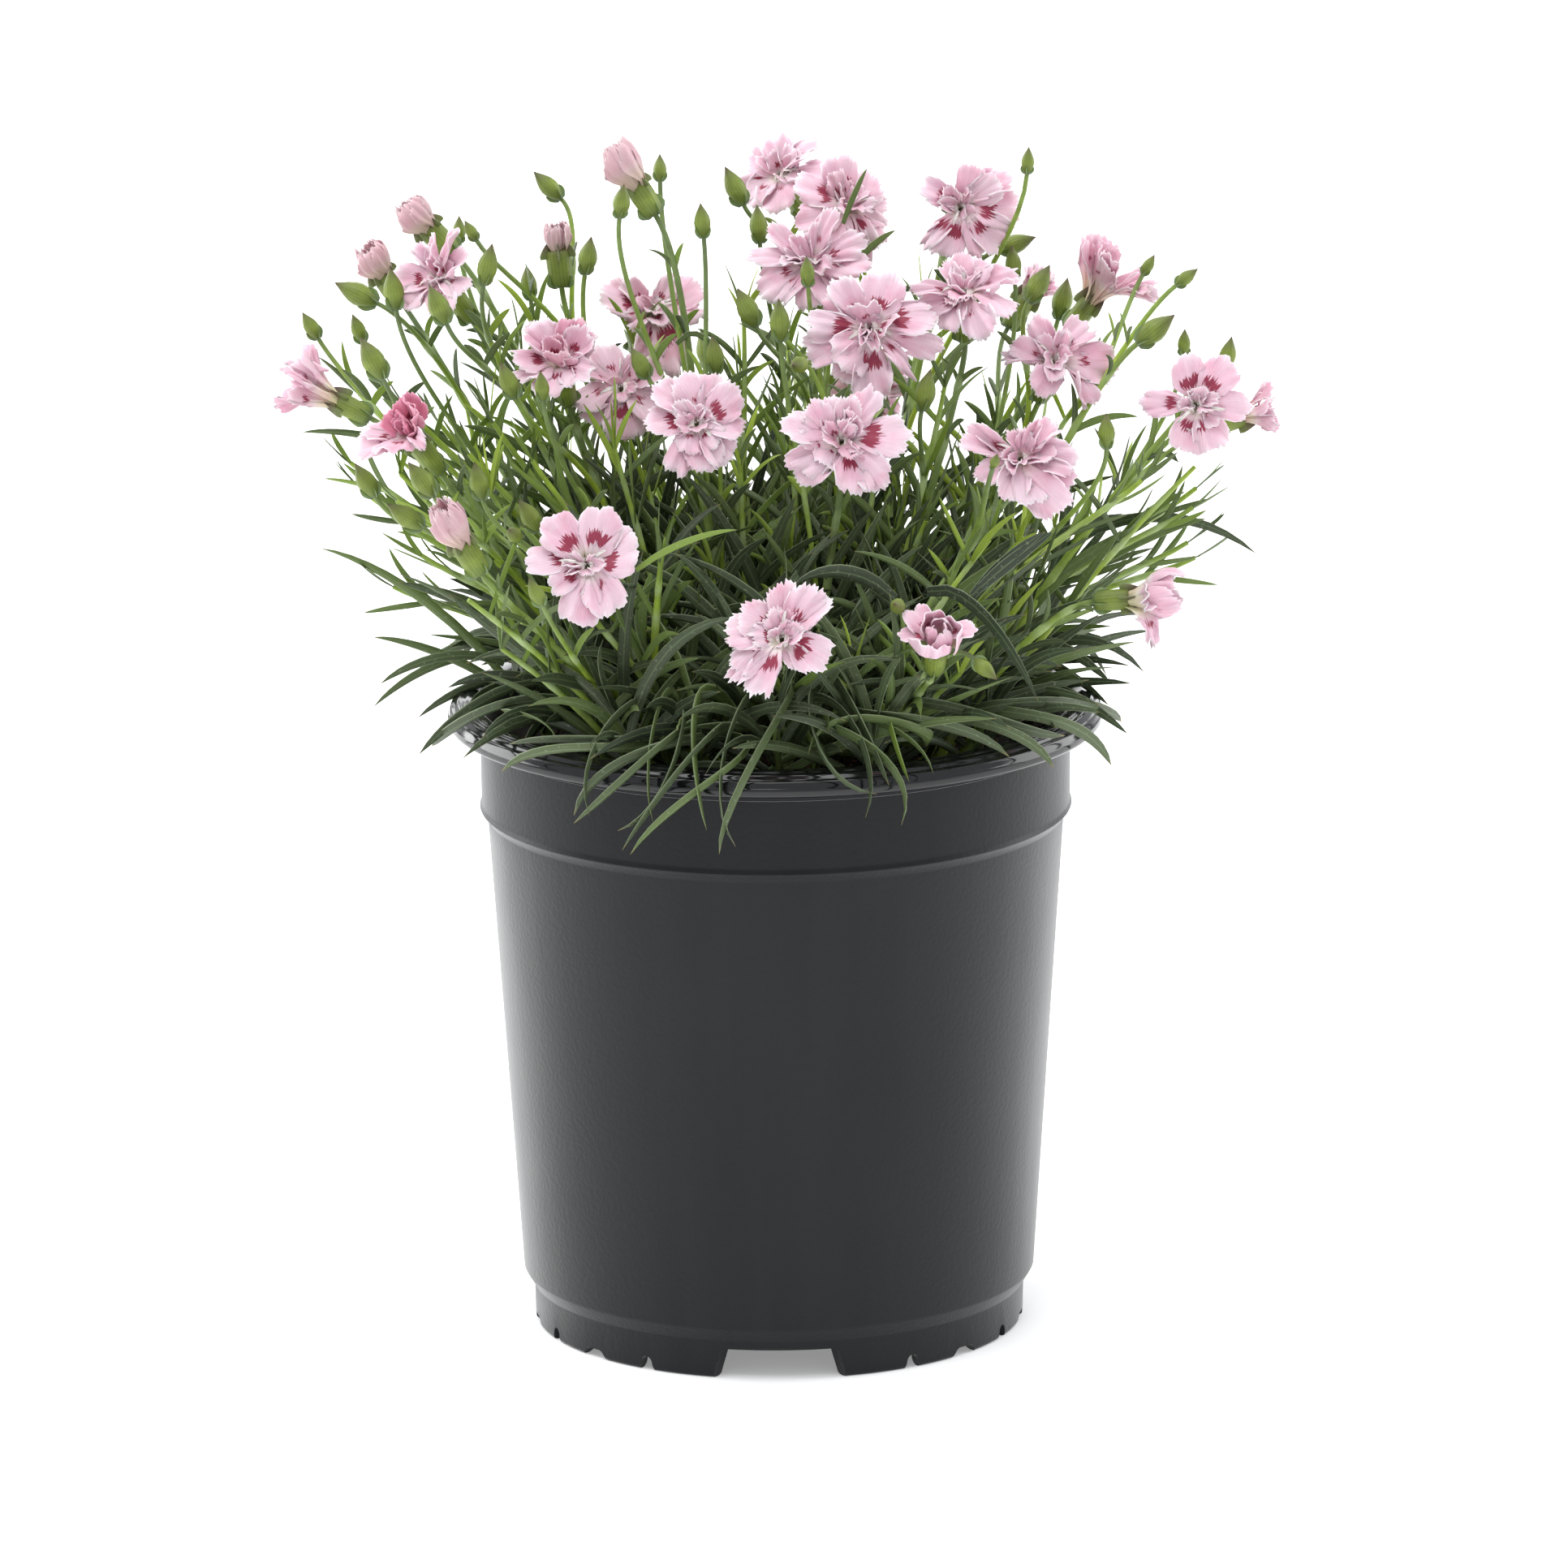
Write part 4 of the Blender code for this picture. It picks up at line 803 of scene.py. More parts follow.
together = add_node(green_tree, "GeometryNodeJoinGeometry")
for layer in (stems_coated, blades_coated):
    feed_node(green_tree, together, {0: layer})
smooth = add_node(green_tree, "GeometryNodeSetShadeSmooth", {"Geometry": together, "Shade Smooth": True})
real = add_node(green_tree, "GeometryNodeRealizeInstances", {"Geometry": smooth})
feed_node(green_tree, result, {0: real})
GREEN_SIZES = {
    "Stem sides": 8, "Blade points": 8, "Blade thickness": 0.2, "Blade fold": 0.26,
    "Stem finish": stem_finish, "Blade finish": leaf_finish,
}
print("the green tree has", len(green_tree.nodes), "nodes")

# %% Turn a list of lines into one green piece
def line_of(points, half_width, growth, upper=None, joint=None):
    """A line for the tree: its points and what each carries. Sizes are in millimetres."""
    count = len(points)
    return {
        "points": np.asarray(points, float), "half_width": np.asarray(half_width, float),
        "growth": np.asarray(growth, float),
        "upper": np.zeros((count, 3)) + (0, 0, 1) if upper is None else np.asarray(upper, float),
        "is_blade": np.full(count, upper is not None),
        "joint": np.zeros(count) if joint is None else np.asarray(joint, float),
    }


def green_piece(name, lines):
    """One mesh: every line swept by the tree."""
    points = np.vstack([line["points"] for line in lines]) * MM
    edges, start = [], 0
    for line in lines:
        count = len(line["points"])
        edges += [(start + i, start + i + 1) for i in range(count - 1)]
        start += count
    mesh = bpy.data.meshes.new(name)
    mesh.from_pydata(points, edges, [])
    kinds = (
        ("half_width", "FLOAT", "value", MM), ("is_blade", "BOOLEAN", "value", 1),
        ("joint", "FLOAT", "value", 1), ("upper", "FLOAT_VECTOR", "vector", 1),
        ("growth", "FLOAT_VECTOR", "vector", 1),
    )
    for key, kind, field, scale in kinds:
        values = np.concatenate([line[key] for line in lines])
        attribute = mesh.attributes.new(key, kind, "POINT")
        attribute.data.foreach_set(field, (values * scale).ravel() if scale != 1 else values.ravel())
    return grown(object_of(name, mesh), green_tree, GREEN_SIZES)


print("lines become meshes through", green_tree.name)

# %% [markdown]
# ## How a leaf bends
# A dianthus leaf leaves its stem almost upright, clasps it, and arches over under its own weight, some
# of them right over the rim. The bend is told by two lean angles, at the root and at the tip, measured
# from upright. Its width stays even for most of its length and then runs to a blunt point.

# %% Draw one leaf
LEAF_STATIONS = 10
LEAF_PLACES = np.linspace(0, 1, LEAF_STATIONS) ** 0.75  # closer together towards the tip
UP = np.array((0, 0, 1.0))


def units(rows):
    """Every row brought to a length of 1."""
    return rows / np.maximum(np.linalg.norm(rows, axis=1), 1e-6)[:, None]


def blade_line(points, width, tone, twist=0.0, face=None, blunt=4.2):
    """A leaf along these points, its upper face turned up, or towards face; a high blunt keeps it wide."""
    s = np.concatenate(((0,), np.cumsum(np.linalg.norm(np.diff(points, axis=0), axis=1))))
    s /= s[-1]
    ahead = units(np.gradient(points, axis=0))
    if face is None:
        face = np.cross(units(np.cross(ahead, UP)), ahead)
    roll = np.radians(twist) * s
    face = np.cos(roll)[:, None] * face + np.sin(roll)[:, None] * np.cross(ahead, face)
    half = 0.5 * width * np.minimum(1.0, 0.66 + 1.1 * s) * (1 - s**blunt) ** 0.85 + 0.05
    growth = np.column_stack((s, np.zeros_like(s), np.full_like(s, tone)))
    return line_of(points, half, growth, upper=face)


def leaf_line(start, turn, lean, tip_lean, length, width, tone, veer=0.0, twist=0.0):
    """A leaf from where it starts, its turn about +Z, and how far it leans from upright at root and tip."""
    s = LEAF_PLACES
    leans = np.radians(lean + (tip_lean - lean) * s**1.25)
    turns = np.radians(turn + veer * s)
    out = np.column_stack((np.cos(turns), np.sin(turns), np.zeros_like(s)))
    ahead = np.sin(leans)[:, None] * out + np.cos(leans)[:, None] * UP
    steps = 0.5 * (ahead[1:] + ahead[:-1]) * length * np.diff(s)[:, None]
    points = np.vstack((np.zeros(3), np.cumsum(steps, axis=0))) + start
    face = -np.cos(leans)[:, None] * out + np.sin(leans)[:, None] * UP
    return blade_line(points, width, tone, twist, face)


def spanned_leaf(start, tip, rise, width, tone, twist=0.0):
    """A leaf from one place to another, which arches over by rise on its way."""
    start, tip = np.array(start, float), np.array(tip, float)
    span = tip - start
    handles = (start, start + 0.3 * span + rise * UP, tip - 0.28 * span + 0.9 * rise * UP, tip)
    return blade_line(np.array([bezier(handles, t) for t in LEAF_PLACES]), width, tone, twist)


LEAF_CLEAR = 1.5  # how far a leaf keeps from mix and rim
MOUND_REACH = 98.0
MOUND_DEPTH = 96.0


def leaf_passes(points, lowest, leftmost=-MOUND_REACH):
    """Whether a leaf keeps over the mix, over the rim and outside the pot's wall."""
    out = np.hypot(points[:, 0], points[:, 1])
    height = points[:, 2]
    over_mix = out < BAND_RADIUS - 4
    over_rim = (out >= BAND_RADIUS - 4) & (out < RIM_RADIUS + LEAF_CLEAR)
    beside = out >= RIM_RADIUS + LEAF_CLEAR
    breaks = (
        height[over_mix] < SOIL_TOP + LEAF_CLEAR,
        height[over_rim] < RIM_TOP + LEAF_CLEAR,
        height[beside] < lowest,
        out > MOUND_REACH,
        np.abs(points[:, 1]) > MOUND_DEPTH,
        points[:, 0] < leftmost,
    )
    return not any(rule.any() for rule in breaks)


print("a leaf has", LEAF_STATIONS, "stations")

# %% [markdown]
# ## The leafy mound
# Non-flowering shoots cover the mix. Each carries opposite pairs of leaves, a quarter turn from pair
# to pair: the lowest spread and hang, the top ones stand. The places follow the sunflower rule, which
# spreads points evenly over a disc. A leaf that would run through the pot or the mix is drawn again.
# Where the photograph shows single leaves, in front of the pot's rim and round the plant's outline,
# they are placed one by one: some hang over the rim, and some sit on thin shoots that fan out.

# %% Grow the mound
SHOOTS = 46
SHOOT_SPREAD = 60.0
SHOOT_PAIRS = 6
SHOOT_TONE = 0.35
LOWEST_LEAF = 139.0
SUNFLOWER_TURN = 137.508
MOUND_LEFT = -84.0  # the photographed plant is thin on this side
draw = random.Random(7)
mound = []
leaf_count = 0
for k in range(SHOOTS):
    out = SHOOT_SPREAD * math.sqrt((k + 0.5) / SHOOTS)
    turn = SUNFLOWER_TURN * k
    share_out = out / SHOOT_SPREAD
    foot = np.array((*(out * direction(turn, 0)[:2]), SOIL_TOP - 3.0))
    top = foot + np.array((0, 0, 1.0)) * draw.uniform(26, 44) * (1.15 - 0.65 * share_out)
    top = top + (4 + 8 * share_out) * direction(turn, 0)
    s = np.linspace(0, 1, 6)[:, None]
    stem_points = foot + s * (top - foot) + (s * (1 - s)) * np.array((0, 0, 6.0))
    growth = np.column_stack((s, 0 * s, SHOOT_TONE + 0 * s))
    mound.append(line_of(stem_points, np.linspace(1.5, 0.9, 6), growth))
    for level in range(SHOOT_PAIRS):
        share = level / (SHOOT_PAIRS - 1)
        start = foot + (0.18 + 0.8 * share) * (top - foot)
        around = turn + 90 * (level % 2) + draw.uniform(-25, 25)
        for half_turn in (0, 180):
            for attempt in range(25):
                lean = (62 - 46 * share) * (0.55 + 0.6 * share_out) + draw.uniform(-8, 10)
                tip_lean = lean + draw.uniform(25, 75) * (0.7 + 0.5 * share_out)
                line = leaf_line(
                    start, around + half_turn + draw.uniform(-18, 18), lean, tip_lean,
                    draw.uniform(38, 66) * (1 - 0.15 * share),
                    draw.uniform(3.0, 4.2) * (1.08 - 0.28 * share_out),
                    min(1.0, abs(draw.gauss(0.25, 0.22)) + 0.15 * share), draw.uniform(-25, 25),
                    draw.uniform(-50, 50),
                )
                if leaf_passes(line["points"], LOWEST_LEAF, MOUND_LEFT):
                    mound.append(line)
                    leaf_count += 1
                    break

# %% Hang leaves over the rim
HANGING = (  # points that each leaf passes, as across and seen height, its width and its tone
    (((-33, 143), (-40, 137), (-46, 131), (-50, 128)), 2.5, 0.6),
    (((-32, 146), (-42, 141), (-48, 134), (-50, 130)), 2.6, 0.5),
    (((-40, 154), (-45, 145), (-47, 138), (-46, 130)), 2.5, 0.55),
    (((-28, 158), (-31, 147), (-31, 138), (-30, 127)), 2.3, 0.7),
    (((-26, 140), (-30, 132), (-34, 129), (-39, 126)), 2.8, 0.5),
    (((-22, 143), (-28, 135), (-34, 127), (-38, 121)), 3.4, 0.55),
    (((-15, 139), (-23, 133), (-30, 127), (-36, 120)), 3.0, 0.72),
    (((-19, 158), (-20, 148), (-19, 138), (-17, 126)), 4.0, 0.76),
    (((4, 160), (-1, 150), (-8, 138), (-14, 120)), 3.6, 0.62),
    (((-9, 155), (-13, 145), (-13, 134), (-10, 122)), 3.0, 0.5),
    (((9, 156), (11, 146), (17, 139), (25, 135)), 3.3, 0.42), (((29, 153), (15, 153), (8, 145)), 3.0, 0.72),
    (((17, 162), (21, 153), (25, 146), (28, 137)), 3.3, 0.5),
    (((17, 156), (22, 146), (24, 137), (22, 129)), 2.4, 0.35), (((29, 151), (31, 144), (33, 138)), 2.5, 0.95),
    (((25, 146), (30, 141), (32, 134), (31, 127)), 3.2, 0.66), (((32, 150), (37, 145), (39, 140)), 2.5, 0.7),
    (((27, 155), (40, 153), (51, 149), (58, 144)), 3.3, 0.55),
    (((40, 158), (52, 154), (63, 151), (72, 149)), 3.0, 0.5), (((57, 151), (64, 147), (69, 141)), 2.8, 0.6),
    (((-46, 147), (-58, 146), (-68, 141)), 2.8, 0.62), (((-46, 149), (-56, 149), (-66, 148)), 2.6, 0.5),
    (((-63, 156), (-58, 154), (-54, 149)), 2.3, 0.7), (((62, 158), (76, 157), (87, 152)), 3.0, 0.5),
    (((70, 153), (79, 148), (84, 141)), 2.8, 0.6), (((-70, 157), (-80, 152), (-86, 147)), 3.0, 0.45),
)
LOWEST_BACK_LEAF = 120.0
LEAF_ROOT_OUT = 50.0  # a hanging leaf starts this far from the middle


def over_the_rim(across, seen):
    """The place that looks like this and lies on an arch over the rim: inside it above, outside it below."""
    seen += 1.8  # these leaves hang nearer to the camera than the plant's middle, so they look lower
    out = beside = RIM_RADIUS + 3.0
    for _ in range(6):
        depth = -math.sqrt(max(out**2 - across**2, 20.0))
        above_rim = seen - SIGHT_SLOPE * depth - (RIM_TOP + 3.0)
        if above_rim > 0:
            out = beside - 1.1 * min(above_rim, 18.0)
        else:
            out = beside + 0.2 * min(-above_rim, 36.0)
    return seen_at(across, seen, depth)


draw = random.Random(19)
for path, width, tone in HANGING:
    places = [over_the_rim(*spot) for spot in path]
    root_turn = math.atan2(places[0][1], places[0][0]) + draw.uniform(-0.2, 0.2)
    root_x, root_y = LEAF_ROOT_OUT * math.cos(root_turn), LEAF_ROOT_OUT * math.sin(root_turn)
    root = (root_x, root_y, SOIL_TOP + draw.uniform(8, 18))
    knots = np.vstack((root, places))
    at = np.concatenate(((0,), np.cumsum(np.linalg.norm(np.diff(knots, axis=0), axis=1))))
    bends = np.polyfit(at / at[-1], knots, 3, w=(0.4,) + (1.0,) * len(places))
    s = np.linspace(0, 1, 16)[:, None]
    points = bends[0] * s**3 + bends[1] * s**2 + bends[2] * s + bends[3]
    out = np.hypot(points[:, 0], points[:, 1])
    lowest = np.where(out > 60, RIM_TOP + 2.5, SOIL_TOP + 3)
    inside_rim = out < RIM_RADIUS + 2.0
    points[:, 2] = np.where(inside_rim, np.maximum(points[:, 2], lowest), points[:, 2])
    ahead = units(np.gradient(points, axis=0))
    outward = np.column_stack((points[:, :2], np.zeros(16))) / out[:, None]
    face = UP + 0.9 * outward
    face -= (face * ahead).sum(axis=1)[:, None] * ahead
    mound.append(blade_line(points, 1.1 * width, tone - 0.1, draw.uniform(-25, 25), units(face), blunt=9.0))
for turn in range(20, 170, 9):  # more of them, at the back
    around = turn + draw.uniform(-4, 4)
    start = 44 * direction(around, 0) + (SOIL_TOP + 10) * UP
    tip_lean = draw.uniform(135, 158)
    line = leaf_line(start, around, 50, tip_lean, draw.uniform(56, 66), 3.2, draw.uniform(0.1, 0.5))
    if leaf_passes(line["points"], LOWEST_BACK_LEAF):
        mound.append(line)
print("leaves that hang over the rim in front:", len(HANGING))

# %% Place the leaves and the bare shoots that stand out
STANDING_OUT = (  # start, tip (each across, seen, depth), rise, width, tone
    ((-66, 164, 4), (-114, 200, 10), 8, 2.6, 0.7), ((-66, 162, 2), (-101, 177, 4), 4, 2.3, 0.6),
    ((-72, 172, 6), (-101, 159, 2), 5, 2.4, 0.55), ((-60, 165, -20), (-89, 147, -30), 5, 3.0, 0.3),
    ((-92, 226, 0), (-118, 230, 6), 2, 1.8, 0.6), ((72, 198, 4), (121, 197, 0), 13, 2.9, 0.35),
    ((64, 165, -16), (88, 151, -26), 3, 2.8, 0.3), ((62, 172, 10), (84, 158, 4), 3, 2.6, 0.4),
    ((-34, 194, -66), (-9, 204, -72), 3, 1.7, 0.86), ((30, 186, -50), (5, 190, -62), 7, 4.0, 0.1),
    ((38, 188, -52), (65, 160, -74), 12, 3.7, 0.05), ((18, 283, 30), (24, 297, 26), 1, 1.6, 0.7),
    ((21, 273, 26), (31, 281, 22), 1, 1.8, 0.7), ((26, 262, 8), (48, 262, 14), 6, 1.7, 0.5),
    ((-24, 252, 2), (-8, 236, -4), 12, 1.6, 0.6), ((-92, 205, 0), (-108, 222, 4), 1, 2.2, 0.85),
    ((86, 200, 0), (103, 213, -4), 2, 2.4, 0.8), ((84, 196, -6), (108, 206, -10), 2, 2.6, 0.7),
    ((-68, 170, -4), (-99, 165, -8), 6, 2.5, 0.5), ((-60, 166, 10), (-90, 156, 8), 5, 2.5, 0.4),
    ((66, 172, 0), (88, 171, -4), 5, 2.8, 0.25), ((62, 176, -10), (84, 164, -18), 4, 2.8, 0.3),
    ((51, 189, -62), (69, 203, -60), 1, 3.4, 0.0), ((49, 187, -61), (67, 203, -61), 2, 3.0, 0.02),
)
BARE_SHOOTS = (  # thin shoots that fan out: start and tip as across, seen, depth, and their leaf pairs
    ((-42, 160, -6), (-106, 222, 2), 4), ((-40, 160, 2), (-101, 213, 8), 4),
    ((-40, 158, 12), (-104, 240, 14), 5), ((-38, 160, -14), (-88, 198, -18), 3),
    ((-44, 160, 6), (-96, 190, 10), 3), ((-34, 160, 20), (-84, 232, 22), 5),
    ((-30, 160, -20), (-72, 206, -30), 4), ((44, 160, 2), (106, 214, 0), 4),
    ((42, 162, -8), (105, 209, -8), 4), ((46, 160, 10), (104, 200, 6), 3), ((40, 160, 18), (106, 196, 14), 3),
    ((38, 164, -16), (92, 216, -16), 4), ((-30, 170, -46), (-28, 196, -58), 2),
    ((10, 165, 4), (8, 222, 2), 5), ((16, 165, 12), (24, 214, 14), 4), ((4, 165, 16), (2, 236, 20), 5),
    ((-34, 160, 4), (-86, 226, -10), 2), ((-30, 160, -8), (-76, 224, -14), 2),
    ((-32, 160, 10), (-92, 236, 6), 2), ((-28, 160, 0), (-70, 232, -4), 2),
    ((-26, 160, 12), (-62, 240, 10), 2), ((-36, 160, -10), (-94, 212, -16), 2),
    ((-24, 160, -14), (-60, 222, -20), 2), ((20, 165, 2), (30, 204, -6), 4),
    ((-4, 165, 10), (-8, 226, 12), 5), ((12, 170, 24), (14, 246, 30), 5), ((24, 165, -8), (38, 206, -16), 4),
)
LOWEST_SHOOT_LEAF = 150.0
SHOOTS_LEFT = -125.0
LIGHT_PULL = 0.35  # how much a leaf turns up to the light towards its tip


def joint_leaf(start, ahead, turn, opening, bend, length, width, tone, draw):
    """One leaf at a joint: it opens this far from the stem's own direction, and bends this much more."""
    side, other = square_to(ahead)
    s = LEAF_PLACES
    turns = np.radians(turn + draw.uniform(-25, 25) * s)
    spoke = np.cos(turns)[:, None] * side + np.sin(turns)[:, None] * other
    angles = np.radians(opening + bend * s**1.25)
    to_light = LIGHT_PULL * s[:, None] * UP
    way = units(np.cos(angles)[:, None] * ahead + np.sin(angles)[:, None] * spoke + to_light)
    steps = 0.5 * (way[1:] + way[:-1]) * length * np.diff(s)[:, None]
    points = np.vstack((np.zeros(3), np.cumsum(steps, axis=0))) + start
    face = -spoke - (-spoke * way).sum(axis=1)[:, None] * way
    return blade_line(points, width, tone, draw.uniform(-60, 60), units(face))


def bare_shoot(start, tip, pairs, draw):
    """A thin bright shoot with a few narrow pairs of leaves."""
    start, tip = seen_at(*start), seen_at(*tip)
    span = np.linalg.norm(tip - start)
    handles = (
        start, start + 0.45 * span * unit(tip - start + 0.7 * span * UP),
        tip - 0.2 * span * unit(tip - start), tip,
    )
    t = np.linspace(0, 1, 12)
    points = np.array([bezier(handles, place) for place in t])
    swell = sum(np.exp(-(((t - (k + 1) / (pairs + 1)) / 0.05) ** 2)) for k in range(pairs))
    # brighter towards the foot: painted light shining through the shoot among the leaves
    growth = np.column_stack((t, 0 * t, np.clip(0.95 - 0.3 * t + draw.uniform(-0.15, 0.1), 0, 1)))
    lines = [line_of(points, (1.1 - 0.5 * t) * (1 + 0.3 * swell), growth, joint=np.minimum(1, swell))]
    around = draw.uniform(0, 180)
    for k in range(pairs + 1):
        place = (k + 1) / (pairs + 1)
        at = bezier(handles, place)
        ahead = unit(bezier(handles, min(1.0, place + 0.03)) - bezier(handles, place - 0.03))
        length = (34 - 22 * place) * draw.uniform(0.8, 1.2)
        for half_turn in (0, 180):
            tone = 0.55 + 0.35 * draw.random()
            opening = draw.uniform(14, 28) if k < pairs else draw.uniform(3, 12)
            turn = around + half_turn
            bend = draw.uniform(5, 30)
            width = 1.0 + 0.028 * length
            lines.append(joint_leaf(at, ahead, turn, opening, bend, length, width, tone, draw))
        around += 90
    return [
        line for line in lines
        if leaf_passes(line["points"], LOWEST_SHOOT_LEAF, SHOOTS_LEFT)
        or line is lines[0] or np.abs(line["points"][:, 0]).max() > 80
    ]


for start, tip, rise, width, tone in STANDING_OUT:
    mound.append(spanned_leaf(seen_at(*start), seen_at(*tip), rise, width, tone, draw.uniform(-25, 25)))
for start, tip, pairs in BARE_SHOOTS:
    mound += bare_shoot(start, tip, pairs, draw)
print("leaves placed one by one:", len(STANDING_OUT), "and bare shoots:", len(BARE_SHOOTS))

# %% Make the mound one piece
mound_piece = green_piece("leafy_mound", mound)
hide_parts("foliage")
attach(mound_piece, "root")
print("mound:", leaf_count, "leaves,", len(mound_piece.data.polygons), "faces")

# %% [markdown]
# ## The flowering sprays
# Each stem swells at its joints, where a pair of leaves clasps it. The leaves open from the stem's own
# direction, turn up to the light, and get shorter joint by joint towards the flowers. A calyx or a bud
# is the end of the same line: only its width changes, so the tree makes it too. At its base sit two
# pairs of small scales, and its mouth has five teeth, which are longest while the petals come out.

# %% Draw stems, buds and calyces
JOINT_SHARES = (0.10, 0.22, 0.36, 0.51, 0.67, 0.83)
JOINT_LEAVES = (56.0, 50.0, 38.0, 25.0, 15.0, 9.0)
BUD_SHAPE = (
    (0.0, 0.3), (0.06, 0.45), (0.14, 0.63), (0.24, 0.82), (0.35, 0.96), (0.46, 1.0), (0.6, 0.88), (0.75, 0.6),
    (0.89, 0.27), (1.0, 0.03),
)
CALYX_SHAPE = (
    (0.0, 0.5), (0.05, 0.78), (0.15, 0.93), (0.35, 1.0), (0.6, 1.04), (0.82, 1.04), (0.95, 0.98), (1.0, 0.86)
)
TUBE_SHARE = {"tip": 0.82, "trumpet": 0.66}  # how much of the calyx is a closed tube; its teeth make the rest


def stem_line(head, low, high, draw, joints):
    """A stem or branch that swells at its joints and ends as its bud or calyx."""
    curve = head["curve"]
    t = np.linspace(0, 1, 26 if joints else 14)
    points = np.array([bezier(curve, place) for place in t])
    length = np.linalg.norm(np.diff(points, axis=0), axis=1).sum()
    half = low + (high - low) * t
    swell = np.zeros_like(t)
    for place in joints:
        swell += np.exp(-(((t - place) * length) / 1.7) ** 2)
    half = half * (1 + 0.5 * swell)
    shape = BUD_SHAPE if head["kind"] == "bud" else CALYX_SHAPE
    tube = TUBE_SHARE.get(head["kind"], 1.0) * head["length"]
    tip = [head["base"] + share * tube * head["axis"] for share, _ in shape[1:]]
    widths = [width * head["width"] for _, width in shape[1:]]
    tone = draw.uniform(0.1, 0.9)
    # brighter yellow-green towards the foot: painted light shining through the stem among the leaves
    growth = [(place, 0.0, min(1.0, max(0.0, 0.63 - 0.65 * place + 0.5 * tone))) for place in t]
    ripeness = 1.0 if head["kind"] == "bud" else 0.86
    growth += [(1.0, (0.05 + 0.95 * share) * ripeness, tone) for share, _ in shape[1:]]
    joint = np.concatenate((np.minimum(1.0, swell), np.zeros(len(tip))))
    return line_of(np.vstack((points, tip)), np.concatenate((half, widths)), growth, joint=joint)


def scale_lines(head, draw):
    """The four scales at the base of a bud or calyx, and a calyx's five teeth."""
    side, other = square_to(head["axis"])
    bud = head["kind"] == "bud"
    shape = BUD_SHAPE if bud else CALYX_SHAPE
    spots, widths = zip(*shape)
    lines = []
    rows = []  # turn, start and end along the calyx, half the width, how far the tip stands off
    for k in range(4):
        turn, end = (90 * k, 0.34) if k % 2 else (90 * k + 20, 0.26)
        rows.append((turn, 0.0, end + draw.uniform(-0.03, 0.05), 0.48, 0.0))
    if not bud:
        tube = TUBE_SHARE.get(head["kind"], 0.98)
        rows += [(72 * k, tube - 0.16, tube + 0.2, 0.54, 0.04) for k in range(5)]
    for turn, start, end, half, lift in rows:
        turn = math.radians(turn + draw.uniform(-8, 8))
        spoke = math.cos(turn) * side + math.sin(turn) * other
        s = np.linspace(0, 1, 6)
        along = start + (end - start) * s
        radius = np.interp(along, spots, widths) * head["width"] + 0.05 + lift * s**2
        if start > 0.0 and head["kind"] == "tip":
            radius = radius * (1 - 0.2 * s)  # the teeth still press on the rolled petals
        points = head["base"] + (along * head["length"])[:, None] * head["axis"] + radius[:, None] * spoke
        root, dark = (0.35, 0.1 + 0.6 * s) if start == 0.0 else (0.8, 0.66 + 0.34 * s)
        width = half * head["width"] * np.minimum(1, root + 1.4 * s) * (1 - s**1.7) + 0.05
        growth = np.column_stack((0.9 * s, dark, np.full(6, draw.uniform(0.3, 0.8))))
        lines.append(line_of(points, width, growth, upper=np.tile(-spoke, (6, 1))))
    return lines


print("buds have", len(BUD_SHAPE), "stations")

# %% Draw a young shoot beside a stem
def young_shoot(curve, draw):
    """A leafy shoot that has not flowered yet: it follows the stem beside it part of the way up."""
    reach = draw.uniform(0.45, 0.86)
    aside = draw.uniform(5, 17) * direction(draw.uniform(0, 360), 0)
    t = np.linspace(0, 1, 14)
    away = (0.25 + 0.75 * t)[:, None] * aside  # further out as it rises
    points = np.array([bezier(curve, reach * place) for place in t]) + away
    tone = draw.uniform(0.3, 1.0)
    # brighter towards the foot: painted light shining through the shoot among the leaves
    growth = np.column_stack((t, 0 * t, np.clip(0.6 - 0.2 * t + 0.4 * tone, 0, 1)))
    swell = sum(np.exp(-(((t - place) / 0.035) ** 2)) for place in (0.3, 0.5, 0.7, 0.87))
    shoot = [line_of(points, (0.95 - 0.4 * t) * (1 + 0.35 * swell), growth, joint=np.minimum(1, swell))]
    around = draw.uniform(0, 180)
    for place, length in ((0.16, 52), (0.3, 46), (0.5, 36), (0.7, 28), (0.87, 22), (1.0, 17), (1.0, 13)):
        start = np.array([np.interp(place, t, points[:, i]) for i in range(3)])
        for half_turn in (0, 180):
            lean = (34 if place < 0.9 else 12) + draw.uniform(-10, 12)
            line = leaf_line(
                start, around + half_turn + draw.uniform(-15, 15), lean, lean + draw.uniform(5, 50),
                length * draw.uniform(0.8, 1.15), 0.9 + 0.032 * length,
                min(1.0, max(0.0, 0.35 + 0.55 * place + draw.uniform(-0.25, 0.25))),
                draw.uniform(-25, 25), draw.uniform(-60, 60),
            )
            if leaf_passes(line["points"], LOWEST_SHOOT_LEAF):
                shoot.append(line)
        around += 90
    return shoot


